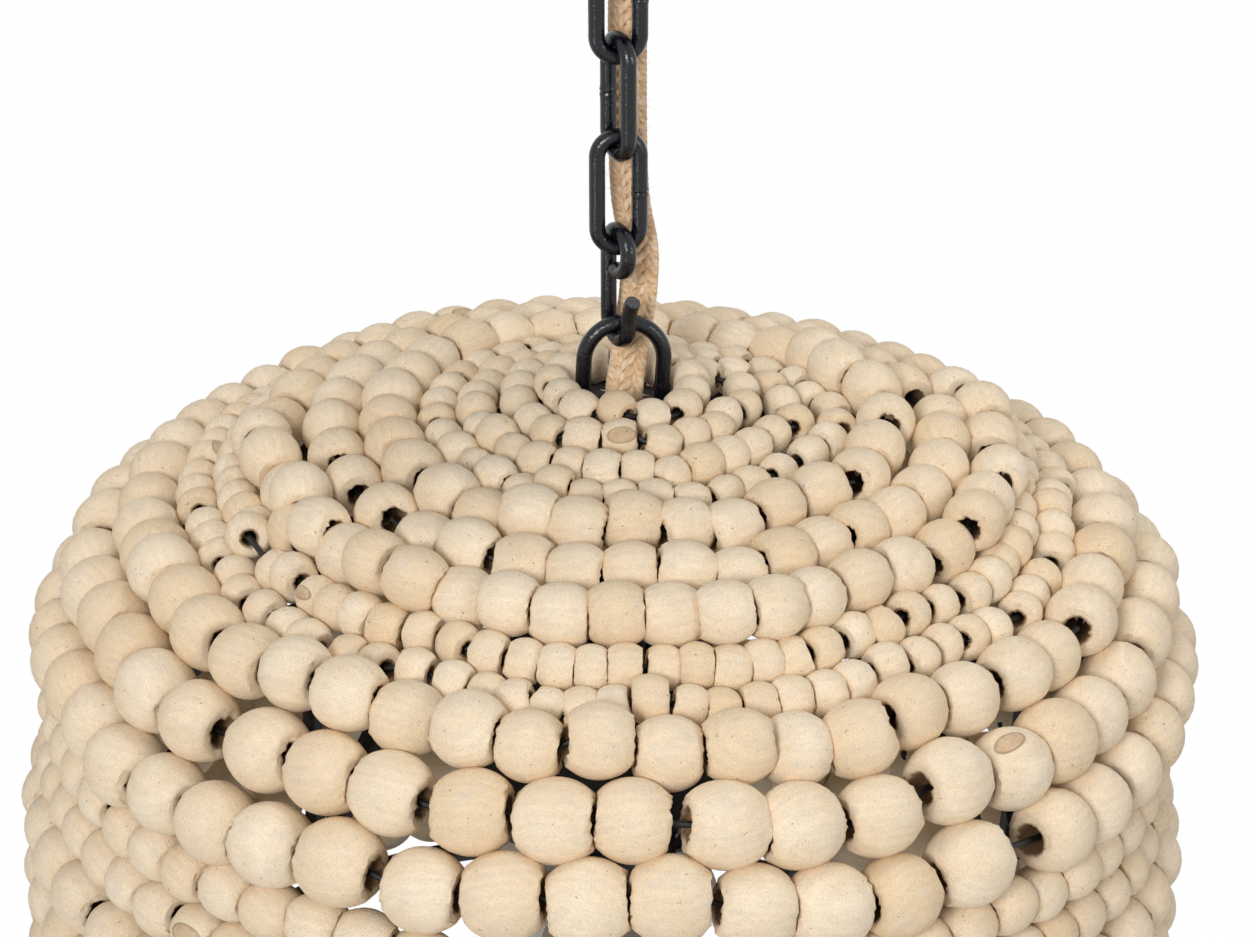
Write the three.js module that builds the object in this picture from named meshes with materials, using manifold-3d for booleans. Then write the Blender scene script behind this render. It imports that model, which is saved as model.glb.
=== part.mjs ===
// A beaded chandelier: rows of wooden beads strung round a domed frame of flat iron ribs,
// hung by a short chain from a ceiling canopy, with a jute-covered cord beside the chain
// and a cluster of three lamps inside.
//
// Millimetres, +Z up. The origin is on the ceiling, in the middle of the crossbar's top
// face, and -Y is the side that a viewer sees. Everything hangs below z = 0.

import * as THREE from 'three';
import { mergeVertices } from 'three/addons/utils/BufferGeometryUtils.js';
import Module from 'manifold-3d';

const wasm = await Module();
wasm.setup();

// Driving dimensions

// Fits: pieces that rest on each other keep seatGap, and pieces in holes keep holeGap
const seatGap = 0.3;
const holeGap = 0.4;
const cutOverrun = 1;

// Ceiling fitting
const canopyRadius = 62;
const canopyDepth = 26;
const canopyWall = 1.6;
const canopyProfileShares = [[0.6, 1], [0.82, 0.86], [0.95, 0.6], [1, 0.3], [1, 0]];
const crossbarLength = 96;
const crossbarWidth = 20;
const crossbarThickness = 3;
const crossbarScrewSpacing = 70;
const crossbarScrewHole = 2.4;
const bossRadius = 8;
const bossHeight = 8;
const nippleRadius = 5;
const nippleBore = 3;
const collarNutRadius = 11;
const collarNutHeight = 5;
const loopBaseRadius = 8.5;
const loopBaseHeight = 8;
const loopBaseBoreDepth = 4.5;
const hangLoopWidth = 27;
const connectorRadius = 6;
const connectorTipRadius = 3.4;
const connectorLength = 19;
const connectorSpacing = 30;
const connectorOffset = -26;

// Chain: welded oval links of round bar, and an opened link that serves as the hook. The
// chain has a little twist in it, so its links are turned from square by these angles
const linkWire = 5;
const linkLength = 40.2;
const linkWidth = 18;
const hookTipReach = 2.2;
const hookRise = 8.5;
const hookSpread = 3;
const faceLinkTurnDeg = 8;
const edgeLinkTurnDeg = 28;

// Crown of the shade
const crownLoopWidth = 30;
const crownLoopHeight = 28.7;
const crownLoopOffset = 2;
const hubRadius = 15.6;
const hubHeight = 13;
const hubHoleRadius = 7.4;

// Shade frame: flat ribs on edge, whose outer edge runs from the hub outwards and down
const shadeLeanDeg = 2.5;
const ribCount = 10;
const ribPhaseDeg = -84;
const ribThickness = 4.2;
const ribDepth = 8;
const ribReach = 167;
const ribDrop = 300;
const ribProfileShares = [
  [0.0956, 0.002],
  [0.204, 0.026],
  [0.332, 0.052],
  [0.518, 0.09],
  [0.644, 0.114],
  [0.76, 0.15],
  [0.838, 0.186],
  [0.91, 0.228],
  [0.961, 0.278],
  [0.991, 0.34],
  [1, 0.467],
  [0.994, 0.667],
  [0.972, 0.873],
  [0.955, 1],
];
const hoopDepth = 9;
const hoopThickness = 4;
const middleHoopHeight = 7;
const middleHoopThickness = 2.5;
const middleHoopRow = 14;

// Beads: barrels, whose length is along their wire, and each row's kind from the crown down
const smallBeadDiameter = 11.8;
const smallBeadLength = 10.4;
const mediumBeadDiameter = 17.4;
const mediumBeadLength = 15.5;
const fineBeadDiameter = 12.6;
const fineBeadLength = 9.5;
const broadBeadDiameter = 19.6;
const broadBeadLength = 18;
const largeBeadDiameter = 22;
const largeBeadLength = 21.8;
const lowerBeadDiameter = 17;
const lowerBeadLength = 15.5;
const smallBead = { diameter: smallBeadDiameter, length: smallBeadLength };
const mediumBead = { diameter: mediumBeadDiameter, length: mediumBeadLength };
const fineBead = { diameter: fineBeadDiameter, length: fineBeadLength };
const broadBead = { diameter: broadBeadDiameter, length: broadBeadLength };
const largeBead = { diameter: largeBeadDiameter, length: largeBeadLength };
const lowerBead = { diameter: lowerBeadDiameter, length: lowerBeadLength };
const beadRowKinds = [
  smallBead, smallBead, smallBead, smallBead,
  mediumBead, mediumBead, mediumBead,
  fineBead, fineBead,
  broadBead, largeBead, largeBead,
  lowerBead, lowerBead,
  largeBead, largeBead, largeBead,
  largeBead, largeBead, largeBead,
];
const beadSlack = 0.25;
const beadWaistShare = 0.55;

// Lamp cluster
const stemRadius = 6.5;
const stemBore = 4.2;
const stemLength = 68;
const stemNutRadius = 10.5;
const stemNutHeight = 5;
const bellTopRadius = 31;
const bellRadius = 46;
const bellHeight = 56;
const bellWall = 2;
const socketPlateThickness = 3;
const socketPlateRecess = 6;
const lampCount = 3;
const socketRadius = 15.5;
const socketBellGap = 3.5;
const socketWall = 2;
const socketHeight = 30;
const socketFloor = 3;
const bulbCapLength = 24;
const bulbRadius = 19.5;
const bulbNeckRadius = 11;
const bulbNeckLength = 14;

// Jute-covered cord: a flat braid, and the points of its route from the canopy to the crown
const cordWidth = 12;
const cordThickness = 4.6;
const bushingWall = 1.6;
const bushingFlange = 2.2;
const cordRoute = [
  [4, 24, -7],
  [4, 24, -28],
  [4, 21, -48],
  [3.8, 15.5, -70],
  [3.6, 12.4, -92],
  [3.4, 11.8, -118],
  [3.2, 11.6, -145],
  [3.8, 11.6, -166],
  [5.2, 11.7, -183],
  [5, 11.4, -198],
  [4.6, 10.6, -207],
  [3.8, 8, -214],
  [2.6, 4.4, -221],
  [1.6, 1.6, -228],
  [1.2, 0.4, -236],
];

// Smoothness of the round shapes
const barSides = 6;
const cordSides = 8;
const cordSteps = 36;
const linkArcSteps = 7;
const hookCurlSteps = 10;
const hookRiseSteps = 3;
const hangLoopSteps = 14;
const roundSteps = 28;
const smallRoundSteps = 16;
const nutSides = 6;
const hoopSteps = 44;
const beadSides = 4;
const ribInnerSteps = 10;
const bulbArcSteps = 5;
const bulbArcStartDeg = -90;
const bulbArcEndDeg = 52;
const searchSteps = 40;

// Finishes

const blackIron = { color: 0x1f1d1c, roughness: 0.45, metalness: 0.8 };
const charcoalIron = { color: 0x2b2a2a, roughness: 0.75, metalness: 0.4 };
const zincSteel = { color: 0x9a9a98, roughness: 0.4, metalness: 0.9 };
const palePineWood = { color: 0xd9c3a0, roughness: 0.7, metalness: 0 };
const juteBraid = { color: 0xa98a5c, roughness: 0.95, metalness: 0 };
const blackPlastic = { color: 0x171717, roughness: 0.5, metalness: 0 };
const frostedGlass = { color: 0xf4efe4, roughness: 0.35, metalness: 0 };

// Helpers

const rightward = new THREE.Vector3(1, 0, 0);
const backward = new THREE.Vector3(0, 1, 0);
const upward = new THREE.Vector3(0, 0, 1);
const fullTurn = Math.PI * 2;
const halfTurn = Math.PI;
const quarterTurn = Math.PI / 2;
const half = 1 / 2;

/** A named mesh with its finish. */
function piece(name, geometry, finish) {
  const mesh = new THREE.Mesh(geometry, new THREE.MeshStandardMaterial(finish));
  mesh.name = name;
  return mesh;
}

/** A closed geometry as a solid for cuts and joins. */
function solid(geometry) {
  const bare = geometry.clone();
  bare.deleteAttribute('normal');
  bare.deleteAttribute('uv');
  const merged = mergeVertices(bare);
  return new wasm.Manifold(new wasm.Mesh({
    numProp: 3,
    vertProperties: Float32Array.from(merged.attributes.position.array),
    triVerts: Uint32Array.from(merged.index.array),
  }));
}

/** The geometry of a solid that was cut or joined. */
function geometryOf(body) {
  const mesh = body.getMesh();
  const geometry = new THREE.BufferGeometry();
  const positions = new THREE.Float32BufferAttribute(mesh.vertProperties, 3);
  geometry.setAttribute('position', positions);
  geometry.setIndex(Array.from(mesh.triVerts));
  return geometry;
}

/** A solid of revolution about Z, from [radius, height] points listed from its bottom. */
function turned(points, steps) {
  const profile = points.map(([radius, height]) => new THREE.Vector2(radius, height));
  const geometry = new THREE.LatheGeometry(profile, steps);
  geometry.rotateX(quarterTurn);
  return geometry;
}

/** A round bar about Z between two heights. */
function disc(radius, low, high, steps) {
  return turned([[0, low], [radius, low], [radius, high], [0, high]], steps);
}

/** A tube about Z between two heights. */
function tube(outer, inner, low, high, steps) {
  const profile = [[inner, low], [outer, low], [outer, high], [inner, high], [inner, low]];
  return turned(profile, steps);
}

/** Places a geometry away from the axis. */
function movedTo(geometry, x, y) {
  geometry.translate(x, y, 0);
  return geometry;
}

/**
 * A bar swept through stations { at, u, v }: the section's middle and its two half-axes,
 * where u x v points along the bar. A closed bar joins its last station to its first.
 */
function sweptBar(stations, sides, closed) {
  const positions = [];
  for (const { at, u, v } of stations) {
    for (let k = 0; k < sides; k += 1) {
      const turn = (k / sides) * fullTurn;
      const point = at.clone();
      point.addScaledVector(u, Math.cos(turn));
      point.addScaledVector(v, Math.sin(turn));
      positions.push(point.x, point.y, point.z);
    }
  }
  const indices = [];
  const spans = closed ? stations.length : stations.length - 1;
  for (let i = 0; i < spans; i += 1) {
    const near = i * sides;
    const far = ((i + 1) % stations.length) * sides;
    for (let k = 0; k < sides; k += 1) {
      const next = (k + 1) % sides;
      indices.push(near + k, near + next, far + next);
      indices.push(near + k, far + next, far + k);
    }
  }
  if (!closed) {
    const last = (stations.length - 1) * sides;
    for (let k = 1; k < sides - 1; k += 1) {
      indices.push(0, k + 1, k);
      indices.push(last, last + k, last + k + 1);
    }
  }
  const geometry = new THREE.BufferGeometry();
  geometry.setAttribute('position', new THREE.Float32BufferAttribute(positions, 3));
  geometry.setIndex(indices);
  return geometry;
}

/** Stations along points, with the section's first half-axis square to a reference. */
function framed(points, reference, halfWidth, halfThickness, closed) {
  const count = points.length;
  return points.map((at, k) => {
    const before = points[closed ? (k + count - 1) % count : Math.max(k - 1, 0)];
    const after = points[closed ? (k + 1) % count : Math.min(k + 1, count - 1)];
    const along = after.clone().sub(before).normalize();
    const u = reference.clone().cross(along).normalize();
    const v = along.clone().cross(u);
    return { at, u: u.multiplyScalar(halfWidth), v: v.multiplyScalar(halfThickness) };
  });
}

/** Points on an arc in an upright plane, round a middle at a height. */
function arcPoints(across, radius, middle, fromTurn, toTurn, steps) {
  const points = [];
  for (let k = 0; k <= steps; k += 1) {
    const turn = fromTurn + (toTurn - fromTurn) * (k / steps);
    const point = across.clone().multiplyScalar(Math.cos(turn) * radius);
    point.addScaledVector(upward, middle + Math.sin(turn) * radius);
    points.push(point);
  }
  return points;
}

/** A point in an upright plane. */
function uprightPoint(across, sideways, height) {
  return across.clone().multiplyScalar(sideways).addScaledVector(upward, height);
}

// Heights, from the ceiling down

const collarNutTop = -canopyDepth - seatGap;
const loopBaseTop = collarNutTop - collarNutHeight - seatGap;
const hangLoopBend = (hangLoopWidth - linkWire) * half;
const hangLoopMiddle = loopBaseTop - loopBaseHeight - hangLoopBend + linkWire * half;
const hangPivot = hangLoopMiddle - hangLoopBend;
const linkPitch = linkLength - linkWire * 2 - seatGap;
const linkBend = (linkWidth - linkWire) * half;
const linkStraight = (linkLength - linkWire) * half - linkBend;
const linkFacings = [false, true, false, true];
const hookPivot = hangPivot - linkPitch * linkFacings.length;
const shadePivot = hookPivot - linkPitch;
const crownTopInShade = linkWire + seatGap + linkWire * half;
const hubTop = crownTopInShade - crownLoopHeight;

// Ceiling fitting

/** The bar on the ceiling, with the nipple's tapped boss under it and two screw holes. */
function crossbar() {
  const plate = new THREE.BoxGeometry(crossbarLength, crossbarWidth, crossbarThickness);
  plate.translate(0, 0, -crossbarThickness * half);
  const bossLow = -crossbarThickness - bossHeight;
  const boss = disc(bossRadius, bossLow, -crossbarThickness * half, smallRoundSteps);
  const boreLow = bossLow - cutOverrun;
  const bore = disc(nippleRadius + holeGap, boreLow, -crossbarThickness, smallRoundSteps);
  const low = -crossbarThickness - cutOverrun;
  const screwPlace = crossbarScrewSpacing * half;
  let body = solid(plate).add(solid(boss)).subtract(solid(bore));
  for (const side of [-1, 1]) {
    const hole = disc(crossbarScrewHole, low, cutOverrun, smallRoundSteps);
    body = body.subtract(solid(movedTo(hole, side * screwPlace, 0)));
  }
  return piece('ceiling_crossbar', geometryOf(body), zincSteel);
}

const cordEntryX = cordRoute[0][0];
const cordEntryY = cordRoute[0][1];
const bushingBore = cordWidth * half + holeGap;
const bushingRadius = bushingBore + bushingWall;

/** The spun dish that hides the crossbar, open at the ceiling. */
function canopyDish() {
  const outer = canopyProfileShares.map(([r, z]) => [r * canopyRadius, -z * canopyDepth]);
  const innerRadius = canopyRadius - canopyWall;
  const innerDepth = canopyDepth - canopyWall;
  const inner = canopyProfileShares.map(([r, z]) => [r * innerRadius, -z * innerDepth]);
  const profile = [[0, -canopyDepth], ...outer, ...inner.reverse(), [0, -innerDepth]];
  const low = -canopyDepth - cutOverrun;
  const high = -innerDepth + cutOverrun;
  const nippleHole = disc(nippleRadius + holeGap, low, high, smallRoundSteps);
  const cordHole = disc(bushingRadius + holeGap, low, high, smallRoundSteps);
  const body = solid(turned(profile, roundSteps))
    .subtract(solid(nippleHole))
    .subtract(solid(movedTo(cordHole, cordEntryX, cordEntryY)));
  return piece('canopy_dish', geometryOf(body), blackIron);
}

/** The threaded tube that carries the load from the crossbar to the hang loop. */
function nipple() {
  const low = loopBaseTop - loopBaseBoreDepth + seatGap;
  const high = -crossbarThickness - seatGap;
  const shape = tube(nippleRadius, nippleBore, low, high, smallRoundSteps);
  return piece('threaded_nipple', shape, zincSteel);
}

/** The ring nut that clamps the dish to the ceiling. */
function collarNut() {
  const low = collarNutTop - collarNutHeight;
  const bore = nippleRadius + holeGap;
  const shape = tube(collarNutRadius, bore, low, collarNutTop, smallRoundSteps);
  return piece('collar_nut', shape, blackIron);
}

/** The eye that the chain hangs in, with its tapped base. */
function hangLoop() {
  const low = loopBaseTop - loopBaseHeight;
  const base = disc(loopBaseRadius, low, loopBaseTop, smallRoundSteps);
  const boreLow = loopBaseTop - loopBaseBoreDepth;
  const bore = disc(nippleRadius + holeGap, boreLow, loopBaseTop + cutOverrun, smallRoundSteps);
  const turn = THREE.MathUtils.degToRad(faceLinkTurnDeg);
  const ring = arcPoints(rightward, hangLoopBend, hangLoopMiddle, 0, fullTurn, hangLoopSteps);
  ring.pop();
  const wire = linkWire * half;
  const eye = sweptBar(framed(ring, backward, wire, wire, true), barSides, true);
  eye.rotateZ(turn);
  const body = solid(base).add(solid(eye)).subtract(solid(bore));
  return piece('hang_loop', geometryOf(body), blackIron);
}

/** The bushing that lines the cord's hole in the dish. */
function cordBushing() {
  const flangeRadius = bushingRadius + bushingFlange;
  const flangeTop = -canopyDepth - seatGap;
  const flangeLow = flangeTop - bushingFlange;
  const neckTop = -canopyDepth + canopyWall + bushingFlange;
  const shape = turned([
    [bushingBore, flangeLow],
    [flangeRadius, flangeLow],
    [flangeRadius, flangeTop],
    [bushingRadius, flangeTop],
    [bushingRadius, neckTop],
    [bushingBore, neckTop],
    [bushingBore, flangeLow],
  ], smallRoundSteps);
  return piece('cord_bushing', movedTo(shape, cordEntryX, cordEntryY), blackPlastic);
}

/** One twist-on wire connector, lying on the dish's floor. */
function wireConnector(name, side) {
  const shape = turned([
    [0, -connectorLength * half],
    [connectorRadius, -connectorLength * half],
    [connectorTipRadius, connectorLength * half],
    [0, connectorLength * half],
  ], smallRoundSteps);
  shape.rotateX(quarterTurn);
  const mesh = piece(name, shape, blackPlastic);
  const floor = -canopyDepth + canopyWall;
  const height = floor + seatGap + connectorRadius;
  mesh.position.set(side * connectorSpacing * half, connectorOffset, height);
  return mesh;
}

// Chain

/** One welded oval link with its upper bar's pivot at a height. */
function weldedLink(name, facing, pivot) {
  const across = facing ? rightward : backward;
  const through = facing ? backward : rightward;
  const middle = pivot + seatGap + linkWire - linkStraight - linkBend;
  const high = middle + linkStraight;
  const low = middle - linkStraight;
  const points = [
    ...arcPoints(across, linkBend, high, 0, halfTurn, linkArcSteps),
    ...arcPoints(across, linkBend, low, halfTurn, fullTurn, linkArcSteps),
  ];
  const wire = linkWire * half;
  const stations = framed(points, through, wire, wire, true);
  const mesh = piece(name, sweptBar(stations, barSides, true), blackIron);
  const turnDeg = facing ? faceLinkTurnDeg : edgeLinkTurnDeg;
  mesh.rotation.z = THREE.MathUtils.degToRad(turnDeg);
  return mesh;
}

/** The opened link: its top curls to a closed eye, and its bottom is an open hook. */
function openedHook() {
  const across = backward.clone().negate();
  const middle = hookPivot + seatGap + linkWire - linkStraight - linkBend;
  const high = middle + linkStraight;
  const low = middle - linkStraight;
  const curl = arcPoints(across, linkBend, high, -quarterTurn, halfTurn, hookCurlSteps);
  const points = [
    uprightPoint(across, -hookTipReach, high - linkBend),
    ...curl,
    ...arcPoints(across, linkBend, low, halfTurn, fullTurn, linkArcSteps),
  ];
  for (let k = 1; k <= hookRiseSteps; k += 1) {
    const share = k / hookRiseSteps;
    const sideways = linkBend + hookSpread * share * share;
    points.push(uprightPoint(across, sideways, low + hookRise * share));
  }
  const wire = linkWire * half;
  const stations = framed(points, rightward, wire, wire, false);
  const mesh = piece('opened_hook_link', sweptBar(stations, barSides, false), blackIron);
  mesh.rotation.z = THREE.MathUtils.degToRad(edgeLinkTurnDeg);
  return mesh;
}

// Jute-covered cord

/** The flat braided cord from the canopy to the crown, at its real length. */
function juteCord() {
  const route = cordRoute.map(([x, y, z]) => new THREE.Vector3(x, y, z));
  const line = new THREE.CatmullRomCurve3(route);
  const points = line.getSpacedPoints(cordSteps);
  const stations = framed(points, backward, cordWidth * half, cordThickness * half, false);
  return piece('jute_cord', sweptBar(stations, cordSides, false), juteBraid);
}

// Shade frame, in the shade's own frame with the hook's bar at the origin

const ribLine = new THREE.SplineCurve(
  ribProfileShares.map(([r, z]) => new THREE.Vector2(r * ribReach, hubTop - z * ribDrop)),
);
const ribLineLength = ribLine.getLength();

/** Where the ribs' outer edge is after a length, and its outward normal. */
function ribEdge(along) {
  const share = Math.min(along / ribLineLength, 1);
  const at = ribLine.getPointAt(share);
  const heading = ribLine.getTangentAt(share);
  at.addScaledVector(heading, Math.max(along - ribLineLength, 0));
  return { at, outward: new THREE.Vector2(-heading.y, heading.x) };
}

/** The middle of a bead that rests on the ribs after a length. */
function beadMiddle(along, diameter) {
  const { at, outward } = ribEdge(along);
  return at.addScaledVector(outward, diameter * half + seatGap);
}

/** The length at which a test first holds, between two lengths. */
function firstAlong(from, to, holds) {
  let low = from;
  let high = to;
  for (let k = 0; k < searchSteps; k += 1) {
    const middle = (low + high) * half;
    if (holds(middle)) {
      high = middle;
    } else {
      low = middle;
    }
  }
  return high;
}

/** Places every row on the ribs: the first against the hub, and each against the last. */
function beadRows() {
  const rows = [];
  for (const { diameter, length: beadLength } of beadRowKinds) {
    const last = rows[rows.length - 1];
    const from = last ? last.along : 0;
    const reach = last ? last.diameter + diameter : hubRadius + diameter;
    const along = firstAlong(from, from + reach, (length) => {
      const middle = beadMiddle(length, diameter);
      if (!last) {
        return middle.x - diameter * half > hubRadius + seatGap;
      }
      const pitch = (last.diameter + diameter) * half + seatGap;
      return middle.distanceTo(last.middle) > pitch;
    });
    const middle = beadMiddle(along, diameter);
    const { outward } = ribEdge(along);
    const count = Math.floor((fullTurn * middle.x) / (beadLength + beadSlack));
    rows.push({ diameter, along, middle, outward, count });
  }
  return rows;
}

const rows = beadRows();
const lastRow = rows[rows.length - 1];
const ribEndAlong = lastRow.along + lastRow.diameter * half;
const ribEnd = ribEdge(ribEndAlong).at;

const ribPhase = THREE.MathUtils.degToRad(ribPhaseDeg);

/** The beads of one row, threaded on their wire, with a bead on the first rib. */
function beadRow(row, index) {
  const stations = [];
  for (let k = 0; k < row.count * 2; k += 1) {
    const turn = ribPhase + (k / (row.count * 2)) * fullTurn;
    const radial = new THREE.Vector3(Math.cos(turn), Math.sin(turn), 0);
    const along = upward.clone().cross(radial);
    const at = radial.clone().multiplyScalar(row.middle.x);
    at.addScaledVector(upward, row.middle.y);
    const u = radial.clone().multiplyScalar(row.outward.x);
    u.addScaledVector(upward, row.outward.y);
    const share = k % 2 === 0 ? 1 : beadWaistShare;
    const reach = row.diameter * half * share;
    const v = along.cross(u);
    stations.push({ at, u: u.multiplyScalar(reach), v: v.multiplyScalar(reach) });
  }
  const number = String(index + 1).padStart(2, '0');
  return piece(`bead_row_${number}`, sweptBar(stations, beadSides, true), palePineWood);
}

/** One flat rib on edge, from the hub to the bottom hoop. */
function rib(index) {
  const startRadius = hubRadius + seatGap;
  const clearOfHub = (point) => new THREE.Vector2(Math.max(point.x, startRadius), point.y);
  const stops = [0, ...rows.map((row) => row.along), ribEndAlong];
  const outer = stops.map((along) => clearOfHub(ribEdge(along).at));
  const inner = [];
  for (let k = 0; k <= ribInnerSteps; k += 1) {
    const { at, outward } = ribEdge(ribEndAlong * (k / ribInnerSteps));
    inner.push(clearOfHub(at.addScaledVector(outward, -ribDepth)));
  }
  const outline = new THREE.Shape([...outer, ...inner.reverse()]);
  const geometry = new THREE.ExtrudeGeometry(outline, {
    depth: ribThickness,
    bevelEnabled: false,
  });
  geometry.translate(0, 0, -ribThickness * half);
  geometry.rotateX(quarterTurn);
  const mesh = piece(`frame_rib_${String(index + 1).padStart(2, '0')}`, geometry, charcoalIron);
  mesh.rotation.z = ribPhase + (index / ribCount) * fullTurn;
  return mesh;
}

/** The flat ring that the ribs stand on at the bottom. */
function bottomHoop() {
  const high = ribEnd.y - seatGap;
  const inner = ribEnd.x - hoopDepth;
  const shape = tube(ribEnd.x, inner, high - hoopThickness, high, hoopSteps);
  return piece('bottom_hoop', shape, charcoalIron);
}

/** The band inside the ribs that keeps them round. */
function middleHoop() {
  const { at } = ribEdge(rows[middleHoopRow].along);
  const outer = at.x - ribDepth - seatGap;
  const low = at.y - middleHoopHeight * half;
  const inner = outer - middleHoopThickness;
  const shape = tube(outer, inner, low, low + middleHoopHeight, hoopSteps);
  return piece('middle_hoop', shape, charcoalIron);
}

/** The loop on the crown that the opened link carries. */
function crownLoop() {
  const bend = (crownLoopWidth - linkWire) * half;
  const middle = crownTopInShade - linkWire * half - bend;
  const foot = hubTop + seatGap;
  const points = [
    uprightPoint(rightward, bend, foot),
    ...arcPoints(rightward, bend, middle, 0, halfTurn, linkArcSteps),
    uprightPoint(rightward, -bend, foot),
  ];
  const wire = linkWire * half;
  const stations = framed(points, backward, wire, wire, false);
  const mesh = piece('crown_loop', sweptBar(stations, barSides, false), blackIron);
  mesh.rotation.z = THREE.MathUtils.degToRad(faceLinkTurnDeg);
  return mesh;
}

/** The hub that the ribs meet, with the cord's hole through it. */
function crownHub() {
  const low = hubTop - hubHeight;
  const shape = tube(hubRadius, hubHoleRadius, low, hubTop, roundSteps);
  return piece('crown_hub', shape, charcoalIron);
}

// Lamp cluster, in the shade's frame

const stemTop = hubTop - hubHeight - seatGap;
const stemLow = stemTop - stemLength;
const bellTop = stemLow - seatGap;
const bellLow = bellTop - bellHeight;
const plateLow = bellLow + socketPlateRecess;
const plateTop = plateLow + socketPlateThickness;
const socketTop = plateLow - seatGap;
const socketBore = socketRadius - socketWall;
const socketCircle = bellRadius - bellWall - socketBellGap - socketRadius;
const bulbTop = socketTop - socketFloor - seatGap;

/** The hollow stem that carries the lamps and their wires. */
function lampStem() {
  const shape = tube(stemRadius, stemBore, stemLow, stemTop, smallRoundSteps);
  return piece('lamp_stem', shape, charcoalIron);
}

/** A hexagonal lock nut on the stem. */
function stemNut(name, low) {
  const high = low + stemNutHeight;
  const bore = disc(stemRadius + holeGap, low - cutOverrun, high + cutOverrun, smallRoundSteps);
  const body = solid(disc(stemNutRadius, low, high, nutSides)).subtract(solid(bore));
  return piece(name, geometryOf(body), zincSteel);
}

/** The flared cover over the lamp holders, open at the bottom. */
function lampBell() {
  const innerTop = bellTopRadius - bellWall;
  const innerLow = bellRadius - bellWall;
  const shape = turned([
    [innerLow, bellLow],
    [bellRadius, bellLow],
    [bellTopRadius, bellTop],
    [0, bellTop],
    [0, bellTop - bellWall],
    [innerTop, bellTop - bellWall],
    [innerLow, bellLow],
  ], roundSteps);
  return piece('lamp_bell', shape, charcoalIron);
}

/** How wide the bell is inside at a height. */
function bellBore(height) {
  const share = (bellTop - height) / bellHeight;
  return bellTopRadius + (bellRadius - bellTopRadius) * share - bellWall;
}

/** The plate inside the bell that the lamp holders hang from. */
function socketPlate() {
  const radius = bellBore(plateTop) - holeGap;
  return piece('socket_plate', disc(radius, plateLow, plateTop, roundSteps), charcoalIron);
}

/** Where a lamp stands round the axis. */
function lampPlace(index) {
  const turn = (index / lampCount) * fullTurn - quarterTurn;
  return [Math.cos(turn) * socketCircle, Math.sin(turn) * socketCircle];
}

/** One lamp holder, a cup with its mouth down. */
function lampSocket(index) {
  const low = socketTop - socketHeight;
  const shape = turned([
    [socketBore, low],
    [socketRadius, low],
    [socketRadius, socketTop],
    [0, socketTop],
    [0, socketTop - socketFloor],
    [socketBore, socketTop - socketFloor],
    [socketBore, low],
  ], smallRoundSteps);
  const [x, y] = lampPlace(index);
  return piece(`lamp_socket_${index + 1}`, movedTo(shape, x, y), blackPlastic);
}

/** One lamp: its screw cap in the holder, and its round glass below. */
function bulb(index) {
  const capRadius = socketBore - holeGap;
  const capLow = bulbTop - bulbCapLength;
  const arcStart = THREE.MathUtils.degToRad(bulbArcStartDeg);
  const arcEnd = THREE.MathUtils.degToRad(bulbArcEndDeg);
  const glassMiddle = capLow - bulbNeckLength - bulbRadius * Math.sin(arcEnd);
  const profile = [];
  for (let k = 0; k <= bulbArcSteps; k += 1) {
    const turn = arcStart + (arcEnd - arcStart) * (k / bulbArcSteps);
    const radius = k > 0 ? Math.cos(turn) * bulbRadius : 0;
    profile.push([radius, glassMiddle + Math.sin(turn) * bulbRadius]);
  }
  profile.push([bulbNeckRadius, capLow], [capRadius, capLow], [capRadius, bulbTop], [0, bulbTop]);
  const [x, y] = lampPlace(index);
  return piece(`bulb_${index + 1}`, movedTo(turned(profile, smallRoundSteps), x, y), frostedGlass);
}

// The whole chandelier

// The open link bears on the crown loop's round beside its top, so the shade hangs to a side
const crownLoopInner = crownLoopWidth * half - linkWire;
const crownLoopDrop = crownLoopInner - Math.sqrt(crownLoopInner ** 2 - crownLoopOffset ** 2);

/** Everything that hangs on the opened link, leaning as it hangs. */
function shade() {
  const group = new THREE.Group();
  group.position.set(crownLoopOffset, 0, shadePivot + crownLoopDrop);
  group.rotation.y = THREE.MathUtils.degToRad(shadeLeanDeg);
  group.add(crownLoop(), crownHub(), bottomHoop(), middleHoop());
  for (let k = 0; k < ribCount; k += 1) {
    group.add(rib(k));
  }
  rows.forEach((row, k) => group.add(beadRow(row, k)));
  group.add(lampStem(), lampBell(), socketPlate());
  group.add(stemNut('stem_top_nut', stemTop - stemNutHeight));
  group.add(stemNut('stem_lower_nut', stemLow));
  for (let k = 0; k < lampCount; k += 1) {
    group.add(lampSocket(k), bulb(k));
  }
  return group;
}

/** The links from the hang loop down, each a quarter turn from the last. */
function chain() {
  const group = new THREE.Group();
  linkFacings.forEach((facing, k) => {
    group.add(weldedLink(`chain_link_${k + 1}`, facing, hangPivot - linkPitch * k));
  });
  group.add(openedHook());
  return group;
}

const chandelier = new THREE.Group();
chandelier.add(crossbar(), canopyDish(), nipple(), collarNut(), hangLoop(), cordBushing());
chandelier.add(wireConnector('wire_connector_1', -1), wireConnector('wire_connector_2', 1));
chandelier.add(chain(), juteCord(), shade());

export default chandelier;
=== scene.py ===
"""The looks of a beaded chandelier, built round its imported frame.

Metres, +Z up. The origin is on the ceiling, and -Y is the side that a viewer sees. What
belongs to the shade is made in the shade's own frame, with the open link's bar at its
origin, and is then leaned as the shade hangs.
"""
import logging
import math
from collections.abc import Callable
from dataclasses import dataclass
from enum import Enum
from typing import NamedTuple

import bpy
import numpy as np
from mathutils import Matrix, Vector


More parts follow.
